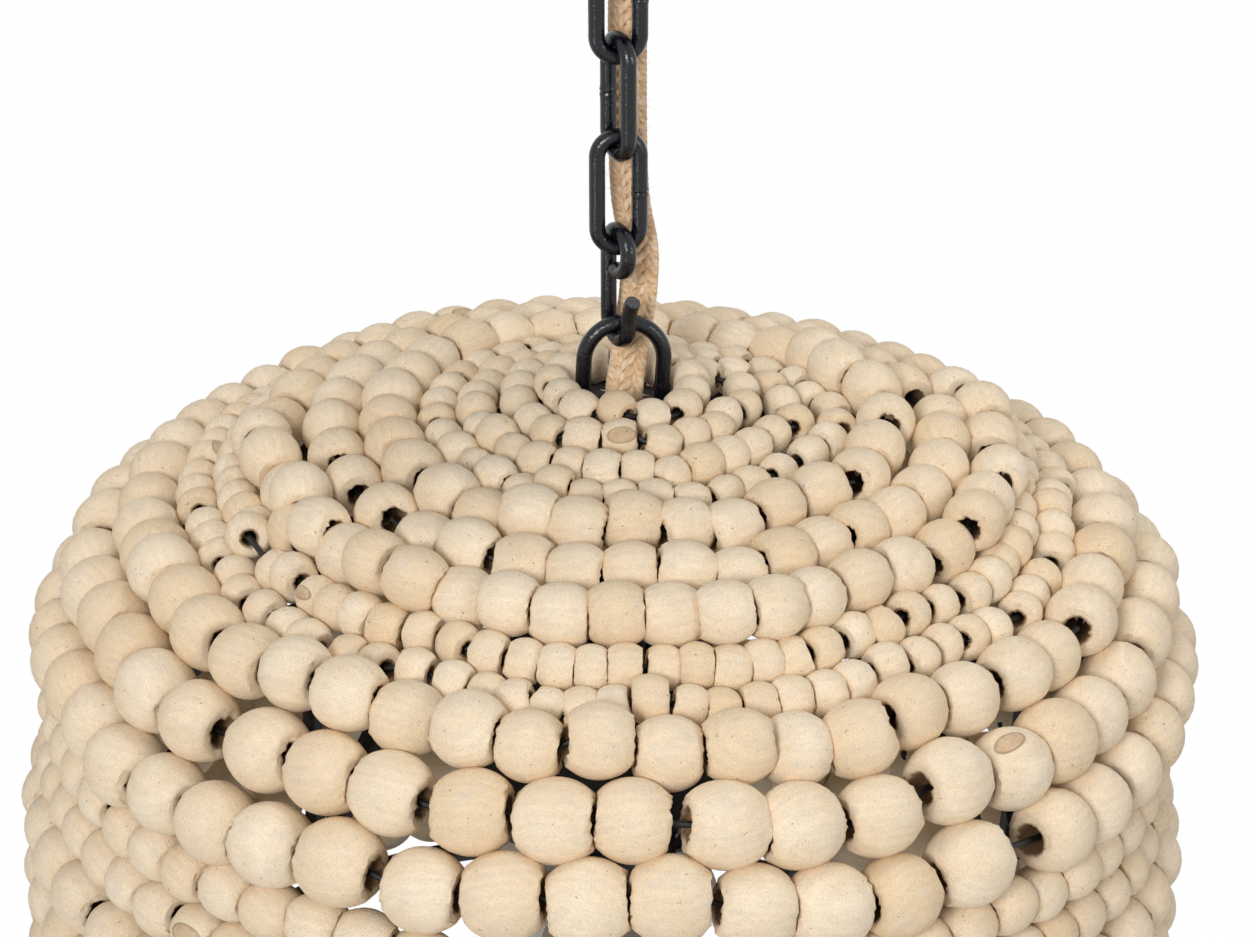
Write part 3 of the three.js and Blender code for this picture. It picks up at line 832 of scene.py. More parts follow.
@dataclass
class Studio:
    """The camera at the photograph's angle, a pale floor, and plain soft light.

    Each lamp has its name, its place from the shade's pivot, its width and its power.
    """

    distance: float = 0.9
    elevation_deg: float = 22.5
    dip_deg: float = 23.86
    offset: float = 2.0 * MM
    lens: float = 82.94
    sensor: float = 36
    photo_px: tuple = (1250, 937)
    nearest: float = 10 * MM
    aim: float = -100 * MM
    floor_height: float = -1.5
    floor_size: float = 14.0
    floor_grey: tuple = (0.8, 0.8, 0.8, 1)
    floor_white: float = 0.995
    surround: float = 0.35
    lamps: tuple = (
        ("front_lamp", (-0.55, -1.6, 0.75), 0.6, 16.0),
        ("right_lamp", (1.5, -0.9, 0.5), 0.5, 6.0),
        ("top_lamp", (0.2, 0.25, 1.5), 0.8, 6.5),
        ("low_lamp", (-0.95, -1.45, -0.5), 0.3, 2.2),
    )

    def build(self) -> Made:
        """Make the camera first, then the light and the floor.

        Returns:
            Nothing that belongs to the object.
        """
        bpy.context.scene.view_settings.view_transform = "Standard"
        self._camera()
        self._world()
        target = Vector((0, 0, SHADE_PIVOT + self.aim))
        for name, place, size, power in self.lamps:
            lamp = bpy.data.lights.new(name, "AREA")
            lamp.shape = "DISK"
            lamp.size = size
            lamp.energy = power
            made = self._placed(name, lamp)
            made.location = Vector(place) + Vector((0, 0, target.z))
            made.rotation_euler = (target - made.location).to_track_quat("-Z", "Y").to_euler()
        self._floor()
        return []

    @staticmethod
    def _placed(name: str, data: bpy.types.ID) -> bpy.types.Object:
        """Put a new object in the scene.

        Args:
            name: Its name.
            data: Its mesh, lamp or camera.

        Returns:
            The object.
        """
        made = bpy.data.objects.new(name, data)
        bpy.context.collection.objects.link(made)
        return made

    def _camera(self) -> None:
        """Set the camera up at the photograph's angle."""
        data = bpy.data.cameras.new("view")
        data.sensor_width = self.sensor
        data.lens = self.lens
        data.clip_start = self.nearest
        camera = self._placed("view", data)
        camera.location = self._eye()
        camera.rotation_euler = (math.radians(90 - self.dip_deg), 0, 0)
        bpy.context.scene.camera = camera

    def _eye(self) -> Points:
        """The camera's place.

        Returns:
            Where it stands.
        """
        rise = math.radians(self.elevation_deg)
        crown = moved(np.array([[0, 0, HUB_TOP]]), leaned())[0]
        return np.array((self.offset, -self.distance * math.cos(rise),
                         crown[2] + self.distance * math.sin(rise)))

    def pixels(self, points: Points) -> Points:
        """Where the camera sees points.

        Args:
            points: The points, in the whole object's frame.

        Returns:
            Their places, in pixels of the photograph.
        """
        dip = math.radians(self.dip_deg)
        ahead = np.array((0, math.cos(dip), -math.sin(dip)))
        up = np.array((0, math.sin(dip), math.cos(dip)))
        off = points - self._eye()
        scale = self.lens / self.sensor * self.photo_px[0] / (off @ ahead)
        right, rise = off[..., 0] * scale, off @ up * scale
        return np.stack([self.photo_px[0] / 2 + right, self.photo_px[1] / 2 - rise], axis=-1)

    @staticmethod
    def _seen(graph: Graph) -> Value:
        """What the camera sees straight, in a gloss or through glass.

        Args:
            graph: The graph that asks.

        Returns:
            1 for that, and 0 else.
        """
        seen = graph.node("ShaderNodeLightPath", output="Is Camera Ray")
        paths = seen.socket.node.outputs
        for name in ("Is Glossy Ray", "Is Transmission Ray"):
            seen = seen.sum("MAXIMUM", seen, Value(graph, paths[name]))
        return seen

    def _world(self) -> None:
        """A white world that lights the object more softly than it shows."""
        world = bpy.data.worlds.new("surround")
        world.use_nodes = True
        bpy.context.scene.world = world
        graph = Graph(world.node_tree)
        ends = {"Value": self._seen(graph), "To Min": self.surround, "To Max": 1.0}
        level = graph.node("ShaderNodeMapRange", inputs=ends)
        background = graph.tree.nodes["Background"]
        background.inputs["Color"].default_value = (1, 1, 1, 1)
        graph.tree.links.new(level.socket, background.inputs["Strength"])

    def _floor(self) -> None:
        """A white floor far below, which keeps the object's shadow."""
        half = self.floor_size / 2
        mesh = bpy.data.meshes.new("floor")
        corners = [(-half, -half), (half, -half), (half, half), (-half, half)]
        mesh.from_pydata([(x, y, self.floor_height) for x, y in corners], [], [(0, 1, 2, 3)])
        mesh.materials.append(painted("white_floor", self._floor_paint))
        self._placed("floor", mesh)

    def _floor_paint(self, graph: Graph) -> Value:
        """Matt where light falls on it, and white to the eye.

        Args:
            graph: The new material's graph.

        Returns:
            The shader.
        """
        matt = graph.node("ShaderNodeBsdfDiffuse", inputs={"Color": self.floor_grey})
        white = graph.node("ShaderNodeEmission", inputs={"Strength": 1.0})
        share = self._seen(graph) * self.floor_white
        return graph.node("ShaderNodeMixShader", inputs={0: share, 1: matt, 2: white})


# The jute-covered cord


class Stretch(NamedTuple):
    """A stretch of the cord: its middle line, its two axes, and how far along each point is."""

    line: Points
    wide: Points
    thick: Points
    run: Points


@dataclass
class JuteCord:
    """A flat cord in a braided jute sleeve, led behind the chain and into the crown.

    It is made in stretches cut at the links' middles, which meet end to end.
    """

    route: tuple = (
        (0.004, 0.024, -0.007), (0.004, 0.024, -0.028), (0.004, 0.021, -0.048),
        (0.0036, 0.0155, -0.07), (0.0031, 0.0124, -0.092), (0.0027, 0.0118, -0.118),
        (0.0028, 0.0116, -0.145), (0.0036, 0.0116, -0.166), (0.0064, 0.0119, -0.183),
        (0.0062, 0.0116, -0.196), (0.0048, 0.0106, -0.207), (0.0038, 0.008, -0.214),
        (0.0026, 0.0044, -0.221), (0.0016, 0.0016, -0.228), (0.0012, 0.0004, -0.236),
    )
    route_steps: int = 40
    width: float = 11.8 * MM
    thickness: float = 4.8 * MM
    squareness: float = 0.72
    core_inset: float = 0.2 * MM
    core_sides: int = 16
    strands: int = 12
    strand_wide: float = 1.2 * MM
    strand_thick: float = 0.62 * MM
    lay: float = 46 * MM
    columns: int = 3
    over: float = 0.36 * MM
    crossing: float = 1.6
    sides: int = 8
    step: float = 0.9 * MM
    hairs: int = 900
    hair_radius: float = 0.055 * MM
    hair_mm: tuple = (0.8, 2.6)
    hair_out: float = 0.7
    hair_stray: float = 0.6
    hair_drift: tuple = (0.5, 0.4, 1.0)
    hair_bend: float = 0.5
    frayed: int = 70
    frayed_radius: float = 0.2 * MM
    frayed_above: float = 2 * MM
    frayed_out_mm: tuple = (0.5, 3.4)
    frayed_down_mm: tuple = (0.5, 2.2)
    frayed_bend_mm: tuple = (-1.5, 1.2)
    bend_share: float = 0.35
    seed: int = 11
    bodies: tuple = ("ceiling_fitting", "link_1", "link_2", "link_3", "link_4", "hook", "shade")

    def build(self) -> Made:
        """Make the stretches, from the canopy down.

        Returns:
            The stretches' objects.
        """
        rng = np.random.default_rng(self.seed)
        fine = spline(list(self.route), self.route_steps)
        length = float(np.linalg.norm(np.diff(fine, axis=0), axis=1).sum())
        count = int(length / self.step) + 1
        line = respaced(fine, count)
        along = unit(np.gradient(line, axis=0))
        wide = unit(np.cross((0.0, 1.0, 0.0), along))
        whole = Stretch(line, wide, np.cross(along, wide), np.linspace(0, length, count))
        cuts = [HANG_PIVOT - LINK_PITCH * k for k in range(len(self.bodies) - 1)]
        ends = [line[0, 2], *(cut - LINK_PITCH * 0.5 for cut in cuts[:-1]), line[-1, 2]]
        made = []
        for k, (cut, high, low) in enumerate(zip(cuts, ends, ends[1:])):
            inside = np.nonzero((line[:, 2] <= high + 1e-9) & (line[:, 2] >= low - self.step))[0]
            part = Piece(f"jute_braid_{k + 1}", JUTE)
            stretch = Stretch(*(values[inside] for values in whole))
            self._core(part, stretch)
            for strand in range(self.strands):
                for way in (1, -1):
                    self._strand(part, stretch, strand, way)
            self._fuzz(part, stretch, rng, int(self.hairs * len(inside) / count))
            if k == len(cuts) - 1:
                self._frayed(part, stretch, rng)
            piece = part.make("jute_cord", sharp_deg=180.0)
            bend = LINK_PITCH * self.bend_share
            start, end = (0, 0, cut + bend), (0, 0, cut - bend)
            self.bodies[k + 1]
            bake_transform(piece)
            made.append(piece)
        return made

    def _ring(self, turn: Points | float, out: Points | float) -> tuple[Points, Points]:
        """Where the sleeve's round is at a turn.

        Args:
            turn: The turn.
            out: How far it stands off.

        Returns:
            How far it is along the width and along the thickness.
        """
        inset = self.strand_thick + self.over - out
        across, deep = (np.sign(wave) * np.abs(wave) ** self.squareness
                        for wave in (np.cos(turn), np.sin(turn)))
        return (self.width / 2 - inset) * across, (self.thickness / 2 - inset) * deep

    @staticmethod
    def _sleeved(part: Piece, rings: Points, run: Points, around: Points, mark: float) -> None:
        """Add rings of points, which carry where on the yarn they are.

        Args:
            part: The stretch's piece.
            rings: The rings, each a row of points.
            run: How far along the cord each ring is.
            around: How far round the yarn each point of a ring is.
            mark: The strand's own number.
        """
        count, sides = rings.shape[:2]
        yarn = np.column_stack([np.repeat(run, sides), np.tile(around, count),
                                np.full(count * sides, mark)])
        part.add((rings.reshape(-1, 3), strip(count, sides, False, True)), yarn=yarn)

    def _core(self, part: Piece, stretch: Stretch) -> None:
        """Add the inside, which closes the gaps between the strands.

        Args:
            part: The stretch's piece.
            stretch: The cord there.
        """
        line, wide, thick, run = stretch
        turn = np.arange(self.core_sides) / self.core_sides * TURN
        a, b = self._ring(turn, -self.core_inset)
        rings = line[:, None] + wide[:, None] * a[None, :, None] + thick[:, None] * b[None, :, None]
        self._sleeved(part, rings, run, turn / TURN * self.sides, 0.0)

    def _strand(self, part: Piece, stretch: Stretch, strand: int, way: int) -> None:
        """Add one strand, over and under those that go the other way.

        Args:
            part: The stretch's piece.
            stretch: The cord there.
            strand: The strand's number.
            way: 1 or -1, for the way round that it goes.
        """
        line, wide, thick, run = stretch
        turn = way * run / self.lay * TURN + (strand + (0.5 if way < 0 else 0)) / self.strands * TURN
        rise = way * self.over * np.clip(np.sin(self.columns * turn) * self.crossing, -1, 1)
        a, b = (values[:, None] for values in self._ring(turn, rise))
        middle = line + wide * a + thick * b
        outward = unit(wide * (a / self.width ** 2) + thick * (b / self.thickness ** 2))
        section = round_section(self.sides) * (self.strand_wide, self.strand_thick)
        side = unit(np.cross(outward, unit(np.gradient(middle, axis=0))))
        ring = side[:, None] * section[None, :, :1] + outward[:, None] * section[None, :, 1:]
        around = np.arange(self.sides) / self.sides
        self._sleeved(part, middle[:, None] + ring, run, around, strand * 2.0 + way)

    def _hair(self, part: Piece, start: Points, away: Points, bend: Points, size: float) -> None:
        """Add one loose fibre.

        Args:
            part: The stretch's piece.
            start: Where it begins.
            away: How far off its end is.
            bend: How far it bends aside by then.
            size: Its radius.
        """
        t = np.linspace(0, 1, 4)[:, None]
        path = start + away * t + bend * t ** 2
        shape = swept(path, ASKEW, round_section(3), size * (1.15 - t[:, 0]))
        part.add(shape, yarn=np.tile((float(start[2]) * 3, 0.2, 5.0), (len(shape[0]), 1)))

    def _fuzz(self, part: Piece, stretch: Stretch, rng: Random, count: int) -> None:
        """Add loose fibres that stand off the braid.

        Args:
            part: The stretch's piece.
            stretch: The cord there.
            rng: The random numbers.
            count: How many fibres there are.
        """
        line, wide, thick, _ = stretch
        for _ in range(count):
            k = int(rng.integers(1, len(line) - 1))
            turn = rng.uniform(0, TURN)
            a, b = self._ring(turn, self.over)
            out = unit(wide[k] * math.cos(turn) + thick[k] * math.sin(turn) * 1.5)
            start = line[k] + wide[k] * a + thick[k] * b
            reach = rng.uniform(*self.hair_mm) * MM
            drift = rng.normal(0, 1, 3) * self.hair_drift
            away = unit(out * self.hair_out + drift * self.hair_stray) * reach
            bend = rng.normal(0, self.hair_bend, 3) * reach
            self._hair(part, start, away, bend, self.hair_radius)

    def _frayed(self, part: Piece, stretch: Stretch, rng: Random) -> None:
        """Add the sleeve's loose yarns where it enters the crown.

        Args:
            part: The stretch's piece.
            stretch: The cord there.
            rng: The random numbers.
        """
        line, wide, thick, _ = stretch
        k = int(np.argmin(np.abs(line[:, 2] - (SHADE_PIVOT + HUB_TOP + self.frayed_above))))
        for _ in range(self.frayed):
            turn = rng.uniform(0, TURN)
            a, b = self._ring(turn, 0.0)
            start = line[k] + wide[k] * a + thick[k] * b
            out = unit(wide[k] * math.cos(turn) + thick[k] * math.sin(turn))
            reach = rng.uniform(*self.frayed_out_mm)
            away = (out * reach - np.array((0, 0, rng.uniform(*self.frayed_down_mm)))) * MM
            bend = np.array((0, 0, rng.uniform(*self.frayed_bend_mm))) * MM
            self._hair(part, start, away, bend, self.frayed_radius)


# The chain


@dataclass
class Chain:
    """Welded oval links of round bar, and the opened link that carries the shade."""

    length: float = 40.2 * MM
    width: float = 18 * MM
    links: int = 4
    tip_reach: float = 2.2 * MM
    rise: float = 8.5 * MM
    spread: float = 3 * MM
    sides: int = 20
    step: float = 0.3 * MM
    open_steps: int = 190
    weld_bulge: float = 0.12
    weld_reach: float = 1.3 * MM
    weld_notch: float = 0.15
    notch_reach: float = 0.45 * MM
    end_taper: float = 0.07
    end_share: float = 0.006
    unevenness: float = 0.008
    seed: int = 5

    def build(self) -> Made:
        """Make the links from the top down, and the opened one last.

        Returns:
            The links' objects.
        """
        rng = np.random.default_rng(self.seed)
        made = []
        for k in range(self.links):
            facing = k % 2 == 1
            place = turned_to(FACE_TURN_DEG if facing else EDGE_TURN_DEG)
            part = Piece(f"chain_oval_{k + 1}", BLACK)
            part.add(self._oval(HANG_PIVOT - LINK_PITCH * k, facing, rng), place)
            made.append(part.ride(f"link_{k + 1}", f"chain_link_{k + 1}"))
        part = Piece("open_link", BLACK).add(self._opened(rng), turned_to(EDGE_TURN_DEG))
        return [*made, part.ride("hook", "opened_hook_link")]

    def _heights(self, pivot: float) -> tuple[float, float, float]:
        """The measures of a link's middle line.

        Args:
            pivot: The height that the link swings about.

        Returns:
            The bends' radius, and the heights of the lower and the upper bend's middle.
        """
        bend = (self.width - LINK_WIRE) / 2
        straight = (self.length - LINK_WIRE) / 2 - bend
        middle = pivot + SEAT_GAP + LINK_WIRE - straight - bend
        return bend, middle - straight, middle + straight

    def _oval(self, pivot: float, facing: bool, rng: Random) -> Shape:
        """One welded link.

        Args:
            pivot: The height that it swings about.
            facing: Whether its face is to the front.
            rng: The random numbers.

        Returns:
            Its points and faces.
        """
        bend, low, high = self._heights(pivot)
        weld_at = [(bend, (low + high) / 2)]
        ring = np.concatenate([weld_at, arc((0, high), bend, 0, 180, 40),
                               arc((0, low), bend, 180, 360, 40), weld_at])
        count = int(2 * (high - low) / self.step + TURN * bend / self.step)
        ring = respaced(ring, count + 1)[:-1]
        around = np.minimum(np.arange(count), count - np.arange(count)) * self.step
        bulge, notch = (np.exp(-(around / reach) ** 2) for reach in (self.weld_reach, self.notch_reach))
        weld = self.weld_bulge * bulge - self.weld_notch * notch
        sizes = 1 + weld + wavering(count, self.unevenness, rng)
        section = round_section(self.sides) * LINK_WIRE / 2
        return upright(ring, (1, 0) if facing else (0, 1), section, sizes, True)

    def _opened(self, rng: Random) -> Shape:
        """The opened link: a closed eye at the top, an open hook at the bottom.

        Args:
            rng: The random numbers.

        Returns:
            Its points and faces.
        """
        bend, low, high = self._heights(HOOK_PIVOT)
        share = np.linspace(0.1, 1, 10)
        tail = np.column_stack([bend + self.spread * share ** 2, low + self.rise * share])
        tip = [(-self.tip_reach, high - bend)]
        line = np.concatenate([tip, arc((0, high), bend, -90, 180, 50),
                               arc((0, low), bend, 180, 360, 40), tail])
        taper = np.linspace(0, 1, self.open_steps)
        ends = sum(np.exp(-(place / self.end_share) ** 2) for place in (taper, 1 - taper))
        sizes = 1 + wavering(self.open_steps, self.unevenness, rng) - self.end_taper * ends
        section = round_section(self.sides) * LINK_WIRE / 2
        return upright(respaced(line, self.open_steps), (0, -1), section, sizes)


# The shade's iron


@dataclass
class Crown:
    """The loop that the opened link carries, on the hub where the ribs meet."""

    width: float = 30 * MM
    foot_depth: float = 1 * MM
    hole: float = 7.4 * MM
    hub_edge: float = 1.2 * MM
    hub_around: int = 64
    weld_bulge: float = 0.1
    weld_at_mm: float = 5.5
    weld_reach_mm: float = 1.3
    foot_flare: float = 0.12
    flare_mm: float = 1.6
    unevenness: float = 0.006
    sides: int = 20
    steps: int = 150
    seed: int = 8

    def build(self) -> Made:
        """Make the loop and the hub.

        Returns:
            Their objects.
        """
        rng = np.random.default_rng(self.seed)
        bend = (self.width - LINK_WIRE) / 2
        foot = HUB_TOP - self.foot_depth
        top = arc((0, CROWN_TOP - LINK_WIRE / 2 - bend), bend, 0, 180, 60)
        line = respaced(np.concatenate([[(bend, foot)], top, [(-bend, foot)]]), self.steps)
        rise = (line[:, 1] - foot) / MM
        bulge = self.weld_bulge * np.exp(-((rise - self.weld_at_mm) / self.weld_reach_mm) ** 2)
        flare = self.foot_flare * np.exp(-rise / self.flare_mm)
        sizes = 1 + np.where(line[:, 0] > 0, bulge, 0) + flare
        sizes += wavering(self.steps, self.unevenness, rng)
        shape = upright(line, (1, 0), round_section(self.sides) * LINK_WIRE / 2, sizes)
        ring = Piece("crown_ring", BLACK).add(shape, leaned() @ turned_to(FACE_TURN_DEG))
        corners = box_of(self.hole, HUB_RADIUS, HUB_TOP - HUB_HEIGHT, HUB_TOP)
        collar = Piece("hub_collar", CHARCOAL)
        collar.lathe(corners, self.hub_edge, self.hub_around, leaned())
        return [ring.ride("shade", "crown_loop"), collar.ride("shade", "crown_hub")]


@dataclass
class Ribcage:
    """Flat ribs on edge from the hub to the bottom hoop, and the band inside them."""

    count: int = 10
    phase_deg: float = -84
    thickness: float = 4.2 * MM
    depth: float = 8 * MM
    edge_round: float = 0.9 * MM
    reach: float = 167 * MM
    drop: float = 300 * MM
    profile_shares: tuple = (
        (0.0956, 0.002), (0.204, 0.026), (0.332, 0.052), (0.518, 0.09), (0.644, 0.114),
        (0.76, 0.15), (0.838, 0.186), (0.91, 0.228), (0.961, 0.278), (0.991, 0.34),
        (1, 0.467), (0.994, 0.667), (0.972, 0.873), (0.955, 1),
    )
    hoop_depth: float = 9 * MM
    hoop_thickness: float = 4 * MM
    band_height: float = 7 * MM
    band_thickness: float = 2.5 * MM
    ring_round: float = 0.8 * MM
    ring_around: int = 128
    sharp_deg: float = 50

    def edge(self) -> Points:
        """The ribs' outer edge, down to where the frame's ribs end.

        Returns:
            Pairs of radius and height.
        """
        shares = self.profile_shares
        line = spline([(r * self.reach, HUB_TOP - z * self.drop) for r, z in shares], 24)
        return line[line[:, 1] > in_shade("frame_rib_01")[:, 2].min()]

    def azimuths(self) -> list[float]:
        """Each rib's turn about Z from +X, in degrees."""
        return [self.phase_deg + 360 / self.count * k for k in range(self.count)]

    def build(self) -> Made:
        """Make the ribs, the hoop and the band.

        Returns:
            Their objects.
        """
        skin = Skin()
        section = flat_section(self.depth, self.thickness, self.edge_round)
        made = []
        for k, azimuth in enumerate(self.azimuths()):
            middle = skin.section_at(math.radians(azimuth + 90), -self.depth / 2)
            part = Piece(f"iron_rib_{k + 1:02d}", CHARCOAL)
            part.add(upright(middle, (1, 0), section), leaned() @ turned_to(azimuth))
            made.append(part.ride("shade", f"frame_rib_{k + 1:02d}", sharp_deg=self.sharp_deg))
        radius, foot = skin.line[-1]
        hoop = box_of(radius - self.hoop_depth, radius,
                      foot - SEAT_GAP - self.hoop_thickness, foot - SEAT_GAP / 3)
        height = float(in_shade("middle_hoop")[:, 2].mean())
        radius = np.interp(-height, -skin.line[:, 1], skin.line[:, 0]) - self.depth - SEAT_GAP / 3
        band = box_of(radius - self.band_thickness, radius,
                      height - self.band_height / 2, height + self.band_height / 2)
        for name, corners, node in (("lower_hoop", hoop, "bottom_hoop"),
                                    ("inner_band", band, "middle_hoop")):
            part = Piece(name, CHARCOAL)
            part.lathe(corners, self.ring_round, self.ring_around, leaned())
            made.append(part.ride("shade", node, sharp_deg=self.sharp_deg))
        return made


@dataclass
class Skin:
    """The surface that the ribs' outer edges lie on.

    It is the ribs' edge turned about the axis. Behind and at the right, the real shade stands a
    little prouder than that, so there it is lifted along its own outward direction.
    """

    lift_at_deg: tuple = (-180, -150, -120, -100, -80, -60, 45, 60, 75, 90, 110, 130, 150, 180)
    lift_mm: tuple = (7.5, 8.5, 8, 6.5, 3.5, 0, 0, 3, 9, 14, 15, 12, 9, 7.5)
    edge_points: int = 400
    rib_points: int = 120
    radii: tuple = (25 * MM, 100 * MM)
    heights: tuple = (-125 * MM, -60 * MM)

    def __post_init__(self) -> None:
        """Measure the ribs' edge."""
        self.line = respaced(Ribcage().edge(), self.edge_points)
        self.run = lengths(self.line)
        self.out = beside(self.line)

    def nearest(self, node: str) -> float:
        """Find a bead row of the frame.

        Args:
            node: The row's name.

        Returns:
            How far along the ribs it is.
        """
        points = in_shade(node)
        radius, height = float(np.hypot(points[:, 0], points[:, 1]).mean()), float(points[:, 2].mean())
        return float(self.run[np.argmin(np.hypot(self.line[:, 0] - radius, self.line[:, 1] - height))])

    def _lift(self, turn: Points, radius: Points, height: Points) -> Points:
        """How far the skin is lifted.

        Args:
            turn: The turns from the front.
            radius: The radii there.
            height: The heights there.

        Returns:
            The lifts.
        """
        degrees = (np.degrees(turn) + 180) % 360 - 180
        inner, high = (np.clip((value - ends[0]) / (ends[1] - ends[0]), 0, 1)
                       for value, ends in ((radius, self.radii), (height, self.heights)))
        share = inner ** 2 * (3 - 2 * inner) * high ** 2 * (3 - 2 * high)
        return np.interp(degrees, self.lift_at_deg, self.lift_mm) * MM * share

    def section_at(self, turn: float, off: float) -> Points:
        """The skin's line at a turn.

        Args:
            turn: The turn from the front.
            off: How far the line is moved out.

        Returns:
            Pairs of radius and height.
        """
        flat = self.line + self.out * off
        lift = self._lift(np.full(len(flat), turn), flat[:, 0], flat[:, 1])
        return respaced(flat + self.out * lift[:, None], self.rib_points)

    def place(self, along: Points | float, turn: Points | float, off: Points | float) -> Points:
        """Points that stand off the skin.

        Args:
            along: How far along the ribs they are.
            turn: Their turns from the front.
            off: How far they stand off.

        Returns:
            The points, in the shade's own frame.
        """
        flat, out = ([np.interp(along, self.run, values) for values in line.T]
                     for line in (self.line, self.out))
        radius, height = flat[0] + out[0] * off, flat[1] + out[1] * off
        lift = self._lift(turn, radius, height)
        radius, height = radius + out[0] * lift, height + out[1] * lift
        turn = np.asarray(turn) - TURN / 4
        places = np.broadcast_arrays(radius * np.cos(turn), radius * np.sin(turn), height)
        return np.stack(places, axis=-1)


# The beads


@dataclass(frozen=True)
class BeadKind:
    """One size of bead: a barrel that is bored along its length and cut off square.

    The shares are of its radius, but flat_share, which says how far along the barrel's round
    the cut is.
    """

    diameter: float
    length: float
    around: int
    stations: int
    bore_share: float
    spread: float
    face_share: float
    flat_share: float

    def stand_off(self) -> float:
        """How far the bead's middle is from the ribs' edge."""
        return self.diameter / 2 + SEAT_GAP

    def outline(self) -> Points:
        """The bead's closed outline.

        Returns:
            Pairs of place along the bore and radius.
        """
        radius, half = self.diameter / 2, self.length / 2
        turn = np.linspace(-1, 1, self.stations) * math.asin(self.flat_share * 0.975)
        outer = np.column_stack([np.sin(turn) * (half / self.flat_share), np.cos(turn) * radius])
        face, bore = radius * self.face_share, radius * self.bore_share
        right = [(half, face), (half * 0.995, (face + bore) / 2), (half * 0.97, bore * 1.08),
                 (half * 0.86, bore), (half * 0.3, bore)]
        return np.concatenate([outer, right, [(-x, r) for x, r in right[::-1]]])

    def template(self) -> Shape:
        """The bead's points about its middle, with its bore along X, and its faces."""
        points, faces = turned(self.outline()[::-1, ::-1], self.around)
        return np.roll(points, 1, axis=1), [face[::-1] for face in faces]


SMALL = BeadKind(12.8 * MM, 10.4 * MM, 20, 10, 0.32, 0.035, 0.66, 0.72)
MEDIUM = BeadKind(19 * MM, 15.5 * MM, 26, 12, 0.37, 0.02, 0.66, 0.72)
FINE = BeadKind(13.9 * MM, 9.5 * MM, 20, 10, 0.31, 0.025, 0.7, 0.66)
BROAD = BeadKind(21.6 * MM, 18 * MM, 26, 13, 0.34, 0.018, 0.6, 0.77)
GRAND = BeadKind(24 * MM, 20.8 * MM, 28, 14, 0.34, 0.018, 0.58, 0.79)
LARGE = BeadKind(22 * MM, 21.8 * MM, 28, 14, 0.35, 0.014, 0.58, 0.8)
LOWER = BeadKind(17 * MM, 15.5 * MM, 24, 12, 0.36, 0.014, 0.62, 0.76)


